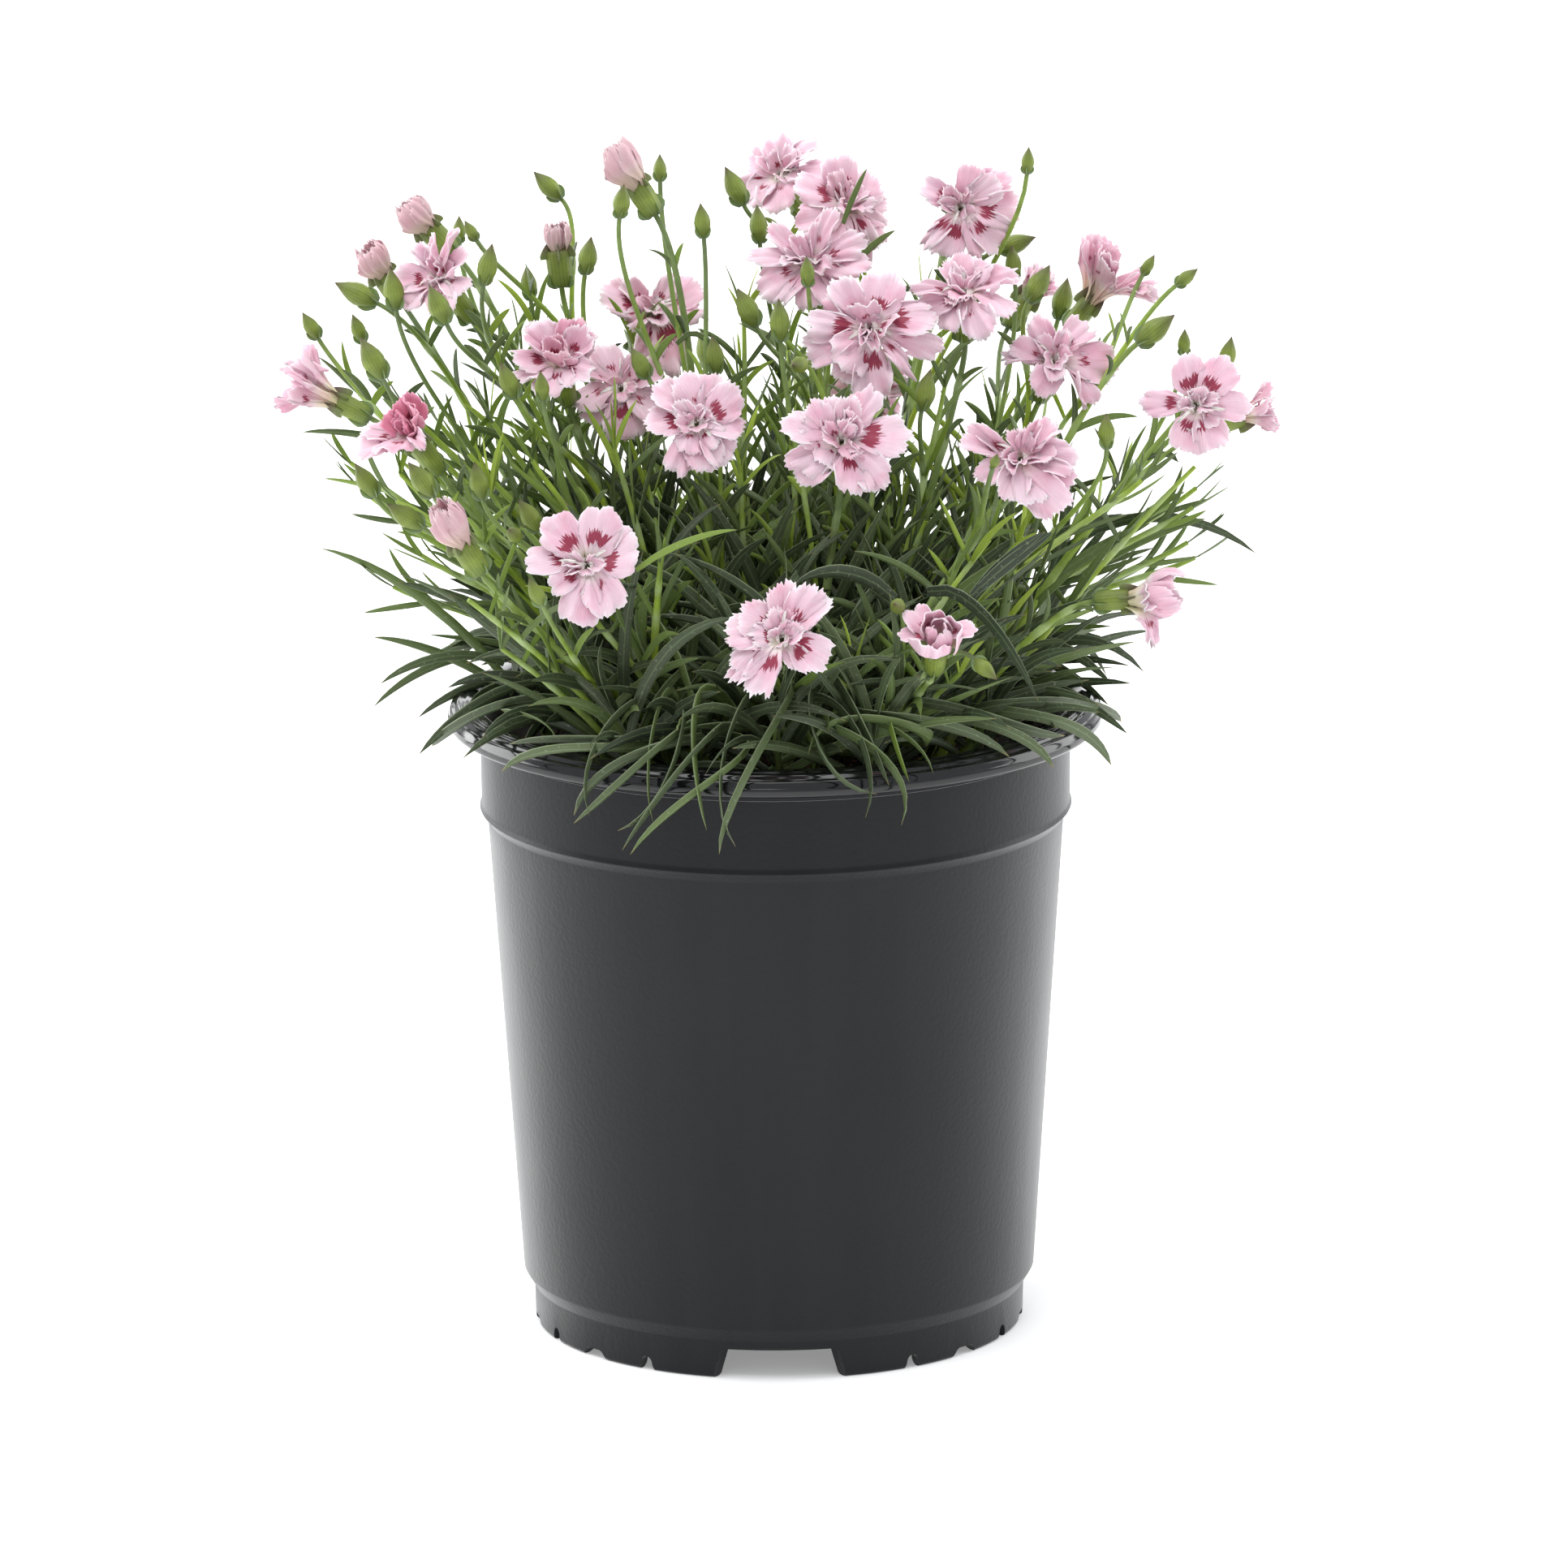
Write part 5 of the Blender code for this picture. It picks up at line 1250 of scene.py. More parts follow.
# %% Grow the sprays
draw = random.Random(11)
spray_faces = 0
for number, heads in enumerate(sprays):
    lines = []
    main = heads[0]
    shift = draw.uniform(-0.03, 0.03)
    joints = [share + shift for share in JOINT_SHARES]
    lines.append(stem_line(main, 1.25, 0.7, draw, joints))
    around = draw.uniform(0, 180)
    for share, length in zip(joints, JOINT_LEAVES):
        start = bezier(main["curve"], share)
        ahead = unit(bezier(main["curve"], share + 0.02) - start)
        for half_turn in (0, 180):
            for attempt in range(20):
                turn = around + half_turn + draw.uniform(-15, 15)
                tone = min(1.0, max(0.0, 0.38 + 0.36 * share + draw.uniform(-0.22, 0.22)))
                width = min(3.5, 0.9 + 0.055 * length) * draw.uniform(0.85, 1.1)
                line = joint_leaf(
                    start, ahead, turn, draw.uniform(14, 32),
                    draw.uniform(15, 60) * (1.0 if share < 0.5 else 1.5), length * draw.uniform(0.75, 1.2),
                    width, tone, draw,
                )
                if leaf_passes(line["points"], LOWEST_SHOOT_LEAF) or share > 0.6:
                    lines.append(line)
                    break
        around += 90
    for k in range(2):
        lines += young_shoot(main["curve"], draw)
    for head in heads[1:]:
        lines.append(stem_line(head, 0.75, 0.6, draw, (0.5,) if head["size"] > 7 else ()))
        start = bezier(head["curve"], 0.5)
        for half_turn in (0, 180):
            turn = around + half_turn
            leaf = leaf_line(start, turn, 25, 60, draw.uniform(7, 13), 1.9, draw.uniform(0.5, 0.95))
            lines.append(leaf)
    for head in heads:
        lines += scale_lines(head, draw)
    piece = green_piece(f"flower_stem_{number + 1:02d}", lines)
    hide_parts(f"spray_{number + 1:02d}")
    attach(piece, "root")
    spray_faces += len(piece.data.polygons)
print("sprays:", spray_faces, "faces")

# %% [markdown]
# ## The petals' finish
# A dianthus petal is thin and matt, with a velvety top of tiny domed cells. It is palest along its
# toothed margin, pinker in clouds here and there, marked by a crimson blotch that breaks into streaks
# outwards, and cream to green in its claw. Petals that stand in the throat are a deeper pink, partly
# their own colour and partly painted pink light passed between petals in the shade there. All of that
# follows the petal itself, so each point carries how far it lies across and along its petal, and the
# colour is worked out from that.

# %% Make the petals' finish
petal_finish, tree, shader = new_finish("velvety_dianthus_petal")
petal = add_node(tree, "ShaderNodeAttribute", attribute_name="petal")
petal_parts = add_node(tree, "ShaderNodeSeparateXYZ", {0: petal.outputs["Vector"]}).outputs
mark = add_node(tree, "ShaderNodeAttribute", attribute_name="mark")
streak_spot = add_node(
    tree, "ShaderNodeVectorMath", {0: petal.outputs["Vector"], 1: (11.0, 1.4, 40.0)}, operation="MULTIPLY"
)
streaks = add_node(
    tree, "ShaderNodeTexNoise", {"Vector": streak_spot, "Scale": 1.0, "Detail": 3.0, "Roughness": 0.65}
)
vein_spot = add_node(
    tree, "ShaderNodeVectorMath", {0: petal.outputs["Vector"], 1: (26.0, 1.2, 40.0)}, operation="MULTIPLY"
)
veins = add_node(tree, "ShaderNodeTexNoise", {"Vector": vein_spot, "Scale": 1.0, "Detail": 2.0})
# The blotch is highest where the distance along the petal is right and the point is near the middle.
# A strong mark reaches far down that hill and covers more of the petal.
ragged = add_node(
    tree, "ShaderNodeMath", {0: streaks, 1: -0.50, 2: petal_parts["Y"]}, operation="MULTIPLY_ADD"
)
off_ring = add_node(
    tree, "ShaderNodeMapRange", {"Value": ragged, "From Min": 0.22, "From Max": 0.34}, clamp=False
)
ring_fall = add_node(tree, "ShaderNodeMath", {0: off_ring, 1: off_ring}, operation="MULTIPLY")
ring_hill = add_node(tree, "ShaderNodeMath", {0: 1.0, 1: ring_fall}, operation="SUBTRACT", use_clamp=True)
off_middle = add_node(tree, "ShaderNodeMath", {0: petal_parts["X"], 1: 0.78}, operation="DIVIDE")
middle_fall = add_node(tree, "ShaderNodeMath", {0: off_middle, 1: off_middle}, operation="MULTIPLY")
middle_hill = add_node(tree, "ShaderNodeMath", {0: 1.0, 1: middle_fall}, operation="SUBTRACT", use_clamp=True)
hill = add_node(tree, "ShaderNodeMath", {0: ring_hill, 1: middle_hill}, operation="MULTIPLY")
shore = add_node(tree, "ShaderNodeMath", {0: 1.02, 1: mark.outputs["Fac"]}, operation="SUBTRACT")
inland = add_node(tree, "ShaderNodeMath", {0: shore, 1: 0.16}, operation="ADD")
blotch_share = add_node(
    tree, "ShaderNodeMapRange", {"Value": hill, "From Min": shore, "From Max": inland, "To Max": 0.96},
)
pink = add_node(tree, "ShaderNodeValToRGB", {0: petal_parts["Y"]})
set_stops(pink, (
    (0.0, "#bcc684"), (0.15, "#e2e0c2"), (0.27, "#eadcda"), (0.4, "#e3c2cf"),
    (0.6, "#e3c4d1"), (0.85, "#e7ccd7"), (0.95, "#ecd7e0"), (1.0, "#f6eff2"),
))
# each petal's depth of pink: its own pink, with painted pink light of the shaded throat added on standing
# petals
depth_of_pink = add_node(tree, "ShaderNodeMath", {0: petal_parts["Z"]}, operation="FRACT")
deep = add_node(tree, "ShaderNodeMix", {0: depth_of_pink, 6: pink, 7: linear("#dc7d9b")}, data_type="RGBA")
place = add_node(tree, "ShaderNodeTexCoord").outputs["Object"]
clouds = add_node(tree, "ShaderNodeTexNoise", {"Vector": place, "Scale": 1 / 0.006, "Detail": 3.0})
flush = add_node(
    tree, "ShaderNodeMapRange", {"Value": clouds, "From Min": 0.46, "From Max": 0.72, "To Max": 0.55}
)
flushed = add_node(tree, "ShaderNodeMix", {0: flush, 6: deep, 7: linear("#de9bb4")}, data_type="RGBA")
# A bud that is only just opening shows the dull backs of its petals, so its mark is below nought.
dusk = add_node(
    tree, "ShaderNodeMapRange",
    {"Value": mark.outputs["Fac"], "From Min": 0.0, "From Max": -0.25, "To Max": 0.6},
)
dusky = add_node(tree, "ShaderNodeMix", {0: dusk, 6: flushed, 7: linear("#c5a6a5")}, data_type="RGBA")
vein_gain = add_node(
    tree, "ShaderNodeMapRange",
    {"Value": veins, "From Min": 0.3, "From Max": 0.7, "To Min": 1.01, "To Max": 0.87},
)
veined = add_node(tree, "ShaderNodeVectorMath", {0: dusky, "Scale": vein_gain}, operation="SCALE")
crimson = add_node(
    tree, "ShaderNodeMix", {0: blotch_share, 6: veined, 7: linear("#8a0736")}, data_type="RGBA"
)
is_style = add_node(tree, "ShaderNodeMath", {0: mark.outputs["Fac"], 1: -0.5}, operation="LESS_THAN")
coloured = add_node(tree, "ShaderNodeMix", {0: is_style, 6: crimson, 7: linear("#efe9e2")}, data_type="RGBA")
pleats = add_node(tree, "ShaderNodeBump", {"Height": veins, "Strength": 0.35, "Distance": 0.0003})
feed_node(
    tree, shader,
    {
        "Base Color": coloured, "Normal": pleats, "Roughness": 0.62, "Subsurface Weight": 0.4,
        "Subsurface Radius": (0.0006, 0.0005, 0.00055), "Subsurface Scale": 1.0, "Sheen Weight": 0.15,
    },
)
print("made", petal_finish.name)

# %% [markdown]
# ## One petal
# A petal is a fan on a narrow claw: it rises out of the calyx, bends outwards, widens and ends in a
# toothed rim, with soft pleats that grow towards that rim. It is a sheet whose shape is decided at
# every point by where it lies across and along it, so a grid of points moved by a few formulas suits
# it better than modelling tools or a node tree. A petal that is still rolled up wraps the middle of
# the flower instead, like a leaf of a rosebud.

# %% Draw a spread petal and a rolled petal
PETAL_COLUMNS = 29
PETAL_ROWS = 9


def smooth_step(low, high, value):
    share = np.clip((value - low) / (high - low), 0, 1)
    return share * share * (3 - 2 * share)


def toothed_rim(draw, teeth):
    """How far the rim reaches at each column: rounded shoulders, and teeth at every other column."""
    u = np.linspace(-1, 1, PETAL_COLUMNS)
    skew = draw.uniform(-0.22, 0.22)
    rim = 1 - 0.10 * (u - skew) ** 2 - 0.36 * np.abs(u) ** 4.5
    zigzag = np.array([(-1 if i % 2 else 1) * draw.uniform(0.1, 1.5) for i in range(PETAL_COLUMNS)])
    slow = 0.03 * np.sin(2 * math.pi * (draw.uniform(0.5, 1.3) * u + draw.random()))
    lobes = -0.05 * np.maximum(0, np.sin(2 * math.pi * (draw.uniform(1.4, 2.4) * u + draw.random()))) ** 6
    return rim + teeth * zigzag * (1 - 0.6 * u**6) + slow + lobes


def spread_petal(length, width, rise, lie, curl, fold, ruffle, teeth, draw, claw=(0.05, 0.40)):
    """A petal of a real size: rise is the slope of its claw, lie its blade's, curl the bend of its rim."""
    v = np.linspace(0, 1, PETAL_ROWS)[:, None]
    u = np.linspace(-1, 1, PETAL_COLUMNS)[None, :]
    s = v**0.9 * toothed_rim(draw, teeth)[None, :] ** smooth_step(0.5, 1.0, v)
    widen = smooth_step(0.06, 0.5, v)
    fan = math.asin(min(0.96, width / (1.62 * length)))
    yaw = fan * u * (0.26 + 0.74 * widen) + draw.uniform(-0.14, 0.14) * v**2
    x = s * np.sin(yaw) + 0.07 * u * (1 - widen)
    y = s * np.cos(yaw)
    run = np.linspace(0, 1.2, 60)
    slope = np.radians(rise + (lie - rise) * smooth_step(*claw, run) + curl * smooth_step(0.45, 1.05, run))
    step = run[1] - run[0]
    out = np.concatenate(((0,), np.cumsum(np.cos(slope[:-1]) * step)))
    high = np.concatenate(((0,), np.cumsum(np.sin(slope[:-1]) * step)))
    here = np.interp(y, run, slope)
    waves = draw.uniform(0.7, 1.5)
    turn, turn_fine, turn_edge = draw.uniform(0, 6.28), draw.uniform(0, 6.28), draw.uniform(0, 6.28)
    coarse = np.sin(math.pi * waves * u + turn + 2.2 * v)
    swell = coarse + 0.5 * np.sin(math.pi * 2.7 * waves * u + turn_fine - 1.6 * v)
    edge = 0.45 * np.sin(math.pi * 3.4 * u + turn_edge) * smooth_step(0.72, 1.0, v)
    bent = math.radians(fold) * smooth_step(0.1, 0.5, v)
    ruffled = ruffle * (v**1.6 * (0.45 + 0.55 * np.abs(u)) * swell + edge)
    height = (np.sqrt(x**2 + 0.05**2) - 0.05) * np.sin(bent) + ruffled
    height = height - 0.012 * np.exp(-((u / 0.12) ** 2)) * v
    x = x * np.cos(bent)
    far = np.interp(y, run, out) - height * np.sin(here)
    up = np.interp(y, run, high) + height * np.cos(here)
    return np.stack((x, far, up), axis=-1) * length


def rolled_petal(radii, length, wrap, spiral, flare, teeth, draw):
    """A petal that wraps the flower's axis: radii gives its distance from it from foot to rim."""
    v = np.linspace(0, 1, PETAL_ROWS)[:, None]
    u = np.linspace(-1, 1, PETAL_COLUMNS)[None, :]
    s = v * toothed_rim(draw, teeth)[None, :] ** smooth_step(0.5, 1.0, v)
    widen = 0.35 + 0.65 * smooth_step(0.0, 0.5, v)
    angle = math.radians(wrap) * u * widen
    radius = np.interp(s, np.linspace(0, 1, len(radii)), radii) * (1 + spiral * u)
    radius = radius + flare * smooth_step(0.72, 1.0, s) * (0.5 + 0.5 * np.cos(math.pi * u * 0.8))
    crumple = 0.10 * v * np.sin(3.1 * u * draw.uniform(0.8, 1.6) * 3 + draw.uniform(0, 6.28))
    radius = radius * (1 + crumple)
    return np.stack((radius * np.sin(angle), radius * np.cos(angle), s * length), axis=-1)


print("a petal has", (PETAL_COLUMNS - 1) * (PETAL_ROWS - 1), "faces before it is given its thickness")

# %% [markdown]
# ## The blooms
# No two blooms are alike, so the petals of those that face the camera are listed one by one, as a
# florist would describe them: which way a petal points round the flower, how long and wide it is, how
# far it stands up, how its rim bends, how sharply it is folded, and how strong its mark is. The others
# share two plain looks. Petals are set in the calyx's mouth and get a quarter of a millimetre of
# thickness from Solidify.

# %% List the petals of the blooms that face the camera
# A petal: turn seen from the front (0 is right, 90 is up), length and width in mm, slope of the blade
# (0 lies flat, 90 stands up), bend of the rim, fold, strength of the mark
PETALS = {
    1: (
        (90, 17, 4.5, 52, 0, 30, 0.3), (60, 17, 4, 66, 10, 40, 0.4), (120, 16, 5, 70, 0, 40, 0.3),
        (250, 19, 3.2, 48, -30, 45, 0.2), (290, 17, 3.5, 60, -20, 45, 0.3), (0, 14, 6, 62, -30, 30, 0.4),
        (180, 14, 6, 62, -30, 30, 0.3), (30, 14, 5, 80, 0, 50, 0.4), (210, 14, 5, 75, 0, 50, 0.3),
        (95, 17, 3.5, 80, -10, 45, 0.2),
    ),
    4: (
        (55, 14, 11, 45, -20, 20, 0.5), (85, 13, 10, 60, -10, 35, 0.6), (120, 12, 8, 40, 10, 40, 0.4),
        (165, 12, 8, 25, 0, 45, 0.5), (200, 13, 10, 15, -25, 20, 0.6), (300, 15, 10, 5, -25, 10, 0.4),
        (250, 12, 11, 10, -30, 15, 0.5), (20, 12, 10, 30, -15, 30, 0.5), (225, 12, 9, -5, -20, 10, 0.3),
        (335, 12, 9, 10, -20, 10, 0.4), (140, 8, 5, 65, 10, 50, 0.6), (40, 8, 6, 70, 15, 40, 0.8),
        (270, 7, 5, 60, 0, 40, 0.6),
    ),
    5: (
        (70, 12, 11, 62, 22, 20, 0.5), (120, 12, 11, 60, 24, 20, 0.5), (20, 11, 9, 60, 20, 20, 0.5),
        (160, 10, 8, 58, 20, 30, 0.4), (225, 15, 11, 12, -25, 0, 0.6), (275, 12, 11, 30, -5, 0, 0.4),
        (325, 12, 6, 30, -60, 45, 0.8), (195, 12, 7, 15, -10, 20, 0.3), (90, 9, 8, 78, 30, 40, 0.4),
        (50, 8, 7, 80, 30, 50, 0.6), (140, 8, 7, 80, 30, 50, 0.5),
    ),
    7: (
        (75, 16, 12.5, 12, 6, 6, 1.0), (0, 14, 13.5, 10, -4, 0, 1.0), (140, 16, 11.5, 8, -4, 4, 0.9),
        (181, 16.5, 10, 2, -10, 0, 0.8), (263, 16.5, 12, 0, -6, 0, 0.2), (302, 15, 12, 4, -10, 4, 0.3),
        (222, 12, 8, 12, -6, 30, 0.9), (60, 15, 11, 2, -10, 0, 0.2), (272, 8.5, 6.5, 22, -8, -20, 1.0),
        (192, 8, 4, 42, 0, 55, 0.6), (212, 7.5, 4, 40, 10, 55, 0.8), (330, 5.5, 3, 50, 20, 50, 0.4),
    ),
    8: (
        (15, 13, 10, 30, 10, 10, 0.7), (50, 13, 10, 38, 12, 15, 0.6), (85, 13, 10, 42, 12, 15, 0.6),
        (120, 13, 10, 40, 12, 15, 0.6), (155, 13, 10, 34, 10, 10, 0.7), (195, 13, 10, 20, 0, 5, 0.8),
        (235, 12.5, 11, 12, -8, 0, 0.4), (275, 12.5, 12, 10, -8, 0, 0.4), (320, 12.5, 11, 15, 0, 0, 0.8),
        (265, 9.5, 10, 70, 26, 15, 0.15), (60, 9, 8, 62, 20, 40, 0.9), (125, 9, 8, 62, 20, 40, 0.9),
        (345, 8.5, 6, 58, 15, 40, 0.8),
    ),
    11: (
        (165, 15, 13, 8, -8, 4, 1.0), (20, 16, 12, 10, -12, -8, 0.5), (345, 15, 12, 4, -14, 0, 0.3),
        (285, 19, 12, -28, -8, 0, 1.0), (255, 15, 10, -30, 0, 10, 0.3), (60, 11, 8, 35, -10, 30, 0.4),
        (120, 11, 8, 30, -10, 30, 0.4), (280, 8, 7, 35, -30, 30, 1.0), (200, 10, 7, 10, -25, 10, 0.8),
    ),
    12: (
        (205, 14, 11, 5, -12, 10, 0.3), (120, 13, 10, 15, -10, 10, 0.3), (165, 13, 8, 20, -12, 25, 0.3),
        (280, 15, 12, -15, -10, 0, 0.9), (320, 14, 11, -5, -15, 0, 0.3), (235, 13, 9, -10, -15, 15, 0.5),
        (30, 12, 9, 20, -10, 20, 0.3), (75, 10, 8, 35, 0, 40, 0.5),
    ),
    13: (
        (95, 13.5, 12, 16, -14, -6, 0.3), (68, 14, 9, 2, -8, 6, 0.1), (28, 14, 11, 14, -8, 4, 0.8),
        (345, 12.5, 10, 10, -16, 0, 0.2), (308, 13.5, 10, 4, -14, 4, 0.2), (272, 13.5, 12, 8, -12, 0, 0.2),
        (234, 15, 8.5, 2, -12, 4, 0.5), (186, 13.5, 11, 8, -8, 0, 1.0), (146, 14.5, 10, 6, -8, 6, 0.2),
        (195, 8, 7, 48, -8, 30, 0.2), (246, 10, 9, 28, -24, -12, 0.3), (318, 9, 8, 30, -30, -12, 0.7),
        (112, 8, 7, 44, -6, 20, 0.2), (155, 8.5, 6, 40, -20, 30, 0.3), (60, 6, 5, 50, 0, 30, 0.8),
        (5, 5, 4, 55, -20, 20, 0.1),
    ),
    14: (
        (80, 9.5, 10, 48, -24, 0, 0.3), (130, 11.5, 10, 36, -20, 15, 0.3), (172, 11, 9, 20, -20, 25, 0.7),
        (205, 12, 9, 8, -18, 30, 0.8), (30, 14, 11, 30, -24, 6, 0.2), (350, 16, 11, 12, -20, 0, 0.2),
        (300, 13, 12, 6, -26, 0, 0.2), (250, 12, 11, 6, -28, 10, 0.4), (110, 8, 6, 66, -10, 45, 0.6),
    ),
    15: (
        (70, 14, 11, 40, -12, 15, 0.9), (160, 17, 12, 14, -14, 0, 0.8), (200, 18, 11, 2, -18, 5, 0.4),
        (235, 17, 11, -10, -24, 0, 0.1), (20, 12, 10, 22, -22, 8, 0.5), (340, 12, 10, 0, -26, 6, 0.2),
        (305, 15, 10, -18, -22, 8, 0.4), (275, 14, 9, -6, -60, 20, 1.0), (100, 11, 8, 48, -14, 25, 0.8),
        (285, 18, 8, -34, -18, 20, 0.2), (130, 8, 6, 52, 0, 45, 0.9), (320, 8, 6, 40, -20, 40, 0.5),
    ),
    16: (
        (180, 17, 8, 12, -12, 20, 0.3), (150, 15, 7, 28, -16, 30, 0.2), (205, 16, 12, -4, -22, 0, 0.3),
        (240, 15, 11, -14, -24, 0, 0.2), (275, 14, 11, -16, -24, 4, 0.2), (310, 15, 12, -10, -26, 0, 0.2),
        (350, 17, 10, 10, -20, 0, 0.2), (20, 16, 9, 26, -18, 10, 0.4), (60, 16, 8, 50, -14, 25, 0.3),
        (100, 12, 6, 58, -10, 40, 0.1), (130, 10, 6, 60, -8, 45, 0.0), (80, 9, 5, 66, -8, 50, 0.0),
        (220, 9, 7, 40, -30, 20, 0.2), (330, 10, 7, 44, -30, 20, 0.2),
    ),
    17: (
        (172, 18, 9.5, 14, -8, 0, 1.0), (118, 16, 9, 20, -14, 4, 0.2), (62, 15.5, 13, 12, -10, 4, 0.55),
        (4, 18, 11, 12, -14, -6, 1.0), (352, 20, 8, 2, -20, 0, 0.2), (228, 15, 13, 16, -16, 0, 0.15),
        (202, 19, 11, -4, -10, 8, 0.1), (262, 20, 12, -10, -10, 2, 0.9), (244, 17, 11, -6, -14, 4, 0.1),
        (318, 17, 5, 6, -75, 30, 0.5), (25, 13, 8, 4, -14, 10, 0.2), (140, 14, 9, -2, -14, 6, 0.2),
        (100, 9.5, 10, 62, 22, -18, 0.3), (200, 8, 5, 60, 18, 55, 0.9), (255, 10.5, 7, 52, 10, 60, 0.4),
        (330, 9.5, 9, 64, 22, -22, 0.9), (290, 10, 6, 46, -10, 55, 0.8),
    ),
    18: (
        (163, 16.5, 11, 12, -12, 0, 0.2), (178, 12, 9, 24, -12, 0, 1.0), (205, 16, 12, 2, -12, 0, 0.1),
        (237, 9.5, 11, 34, -22, -10, 0.3), (225, 14, 10, 6, -16, 0, 0.1), (292, 15.5, 13, 2, -14, 0, 1.0),
        (322, 17, 11, 2, -12, 0, 0.1), (357, 18.5, 12, 10, -10, 2, 1.0), (38, 16, 9, 18, -12, 6, 0.2),
        (95, 12, 8, 34, -16, 10, 0.2), (128, 13, 9, 24, -14, 8, 0.2), (68, 13, 8, 40, -10, 20, 0.1),
        (75, 10.5, 7, 62, 8, 45, 0.3), (20, 11, 8, 66, 8, 30, 0.1), (140, 8, 5, 54, -10, 40, 0.8),
        (340, 8, 6, 56, 0, 40, 0.6),
    ),
    19: (
        (150, 13, 8, 26, -16, 10, 1.0), (165, 8.5, 6, 50, 4, 40, 0.1), (190, 8, 5, 44, 14, 45, 0.1),
        (80, 13, 9, 44, -24, 10, 0.1), (50, 13, 9, 36, -22, 10, 0.1), (20, 16, 9, 14, -14, 8, 1.0),
        (345, 16, 12, -2, -22, 0, 0.9), (318, 16, 11, -12, -24, 0, 0.7), (288, 14, 10, -14, -22, 0, 0.3),
        (255, 14.5, 10, -10, -24, 0, 1.0), (212, 15, 5, -4, -62, 20, 0.9), (105, 9, 6, 62, -6, 35, 0.2),
        (60, 7, 4, 66, 0, 45, 0.3),
    ),
    20: (
        (176, 14, 7, 12, -26, 25, 0.4), (215, 13, 8, -6, -24, 15, 0.3), (255, 12, 9, -14, -20, 10, 0.2),
        (282, 15, 10, -20, -14, 14, 0.2), (330, 15, 9, -4, -18, 5, 0.2), (5, 15, 9, 14, -20, 5, 0.2),
        (50, 11, 8, 34, -26, 15, 0.2), (95, 11, 7, 44, -26, 20, 0.1), (135, 10, 6, 40, -24, 30, 0.2),
        (270, 8, 8, 46, -40, 0, 0.9), (110, 7, 5, 64, -10, 40, 0.1), (20, 7, 5, 60, -14, 40, 0.3),
    ),
    21: (
        (192, 15, 6, 8, -16, 35, 1.0), (240, 12, 10, 0, -40, 20, 0.3), (150, 13, 8, 26, -34, 20, 0.3),
        (100, 13, 8, 46, -24, 20, 0.3), (355, 17, 12, 0, -16, 6, 0.3), (25, 14, 9, 22, -22, 10, 0.3),
        (300, 16, 7, -22, -14, 35, 0.5), (330, 14, 8, -10, -20, 15, 0.3), (70, 9, 6, 60, -20, 40, 0.5),
        (265, 9, 7, 30, -40, 30, 0.4),
    ),
    22: (
        (90, 19, 9, 45, 4, 20, 0.2), (55, 18, 9, 48, 0, 20, 0.2), (125, 18, 9, 48, 0, 20, 0.2),
        (20, 18, 9, 50, -10, 15, 0.2), (160, 18, 9, 50, -10, 15, 0.2), (270, 19, 9, 36, -20, 10, 0.3),
        (300, 18, 8, 44, -10, 20, 0.2), (240, 18, 8, 44, -10, 20, 0.2), (75, 17, 8, 66, 10, 30, 0.2),
        (110, 17, 8, 70, 10, 30, 0.2), (290, 16, 8, 68, 10, 30, 0.2), (0, 16, 8, 72, 10, 40, 0.2),
    ),
    24: (
        (110, 13.5, 10.5, 14, -6, 0, 0.9), (50, 15, 10.5, 12, -10, 4, 0.8), (354, 14.5, 8.5, 6, -10, 0, 0.1),
        (176, 15, 8, 8, -8, 6, 0.7), (250, 13, 11.5, 2, -8, 0, 0.9), (294, 13, 11, 2, -10, 0, 0.9),
        (262, 7, 7, 26, -20, -10, 0.2), (320, 8, 6, 26, -16, 0, 0.3), (205, 6, 5, 46, 0, 40, 0.4),
        (140, 5.5, 4, 50, 10, 45, 0.4), (80, 5, 4, 56, 10, 45, 0.3), (30, 5.5, 4, 50, 10, 45, 0.4),
    ),
    25: (
        (90, 12, 5, 60, -10, 30, 0.1), (60, 11, 5, 55, -10, 20, 0.1), (120, 11, 5, 65, -5, 30, 0.1),
        (270, 10, 5, 50, -20, 30, 0.1), (300, 10, 4, 60, -20, 30, 0.1), (0, 10, 5, 60, -20, 20, 0.1),
        (180, 10, 5, 60, -20, 20, 0.1), (45, 9, 5, 80, 0, 40, 0.1), (150, 9, 5, 78, 0, 40, 0.1),
    ),
    26: (
        (142, 15, 7, 20, -10, 50, 0.6), (168, 17, 9, 14, -12, 15, 0.6), (245, 12.5, 10, 8, -26, 20, 0.2),
        (215, 13, 8, 6, -22, 25, 0.2), (52, 12, 6, 52, -6, 45, 0.4), (352, 15, 11, 12, -16, 8, 0.1),
        (322, 16, 12, 2, -18, 4, 0.1), (298, 19, 12, -8, -14, 4, 0.1), (275, 14, 10, 4, -24, 14, 0.1),
        (20, 13, 9, 34, -22, 15, 0.1), (80, 9, 7, 56, -16, 40, 0.1), (330, 10, 9, 48, -30, 10, 0.1),
        (260, 9, 6, 52, -16, 45, 0.1), (200, 8, 6, 54, -10, 45, 0.4),
    ),
    27: ((278, 15, 9, 34, -30, 0, 0.4), (200, 12, 6, 40, -60, 20, 0.2)),
    28: (
        (150, 13, 12, 14, -12, 4, 1.0), (100, 14.5, 11, 12, -12, 4, 0.3), (60, 16, 11, 14, -10, 0, 0.4),
        (25, 16, 11, 18, -12, 4, 0.3), (335, 14, 11.5, 6, -8, 0, 1.0), (252, 17, 9, 0, -10, 4, 1.0),
        (222, 18, 7, -6, -10, 6, 0.2), (190, 15, 12, 6, -10, 0, 0.7), (210, 15, 10, 2, -14, 0, 0.5),
        (300, 10, 7, 4, -14, 0, 0.2), (125, 8.5, 8.5, 48, -26, -10, 0.1), (45, 8, 6, 44, -6, 30, 1.0),
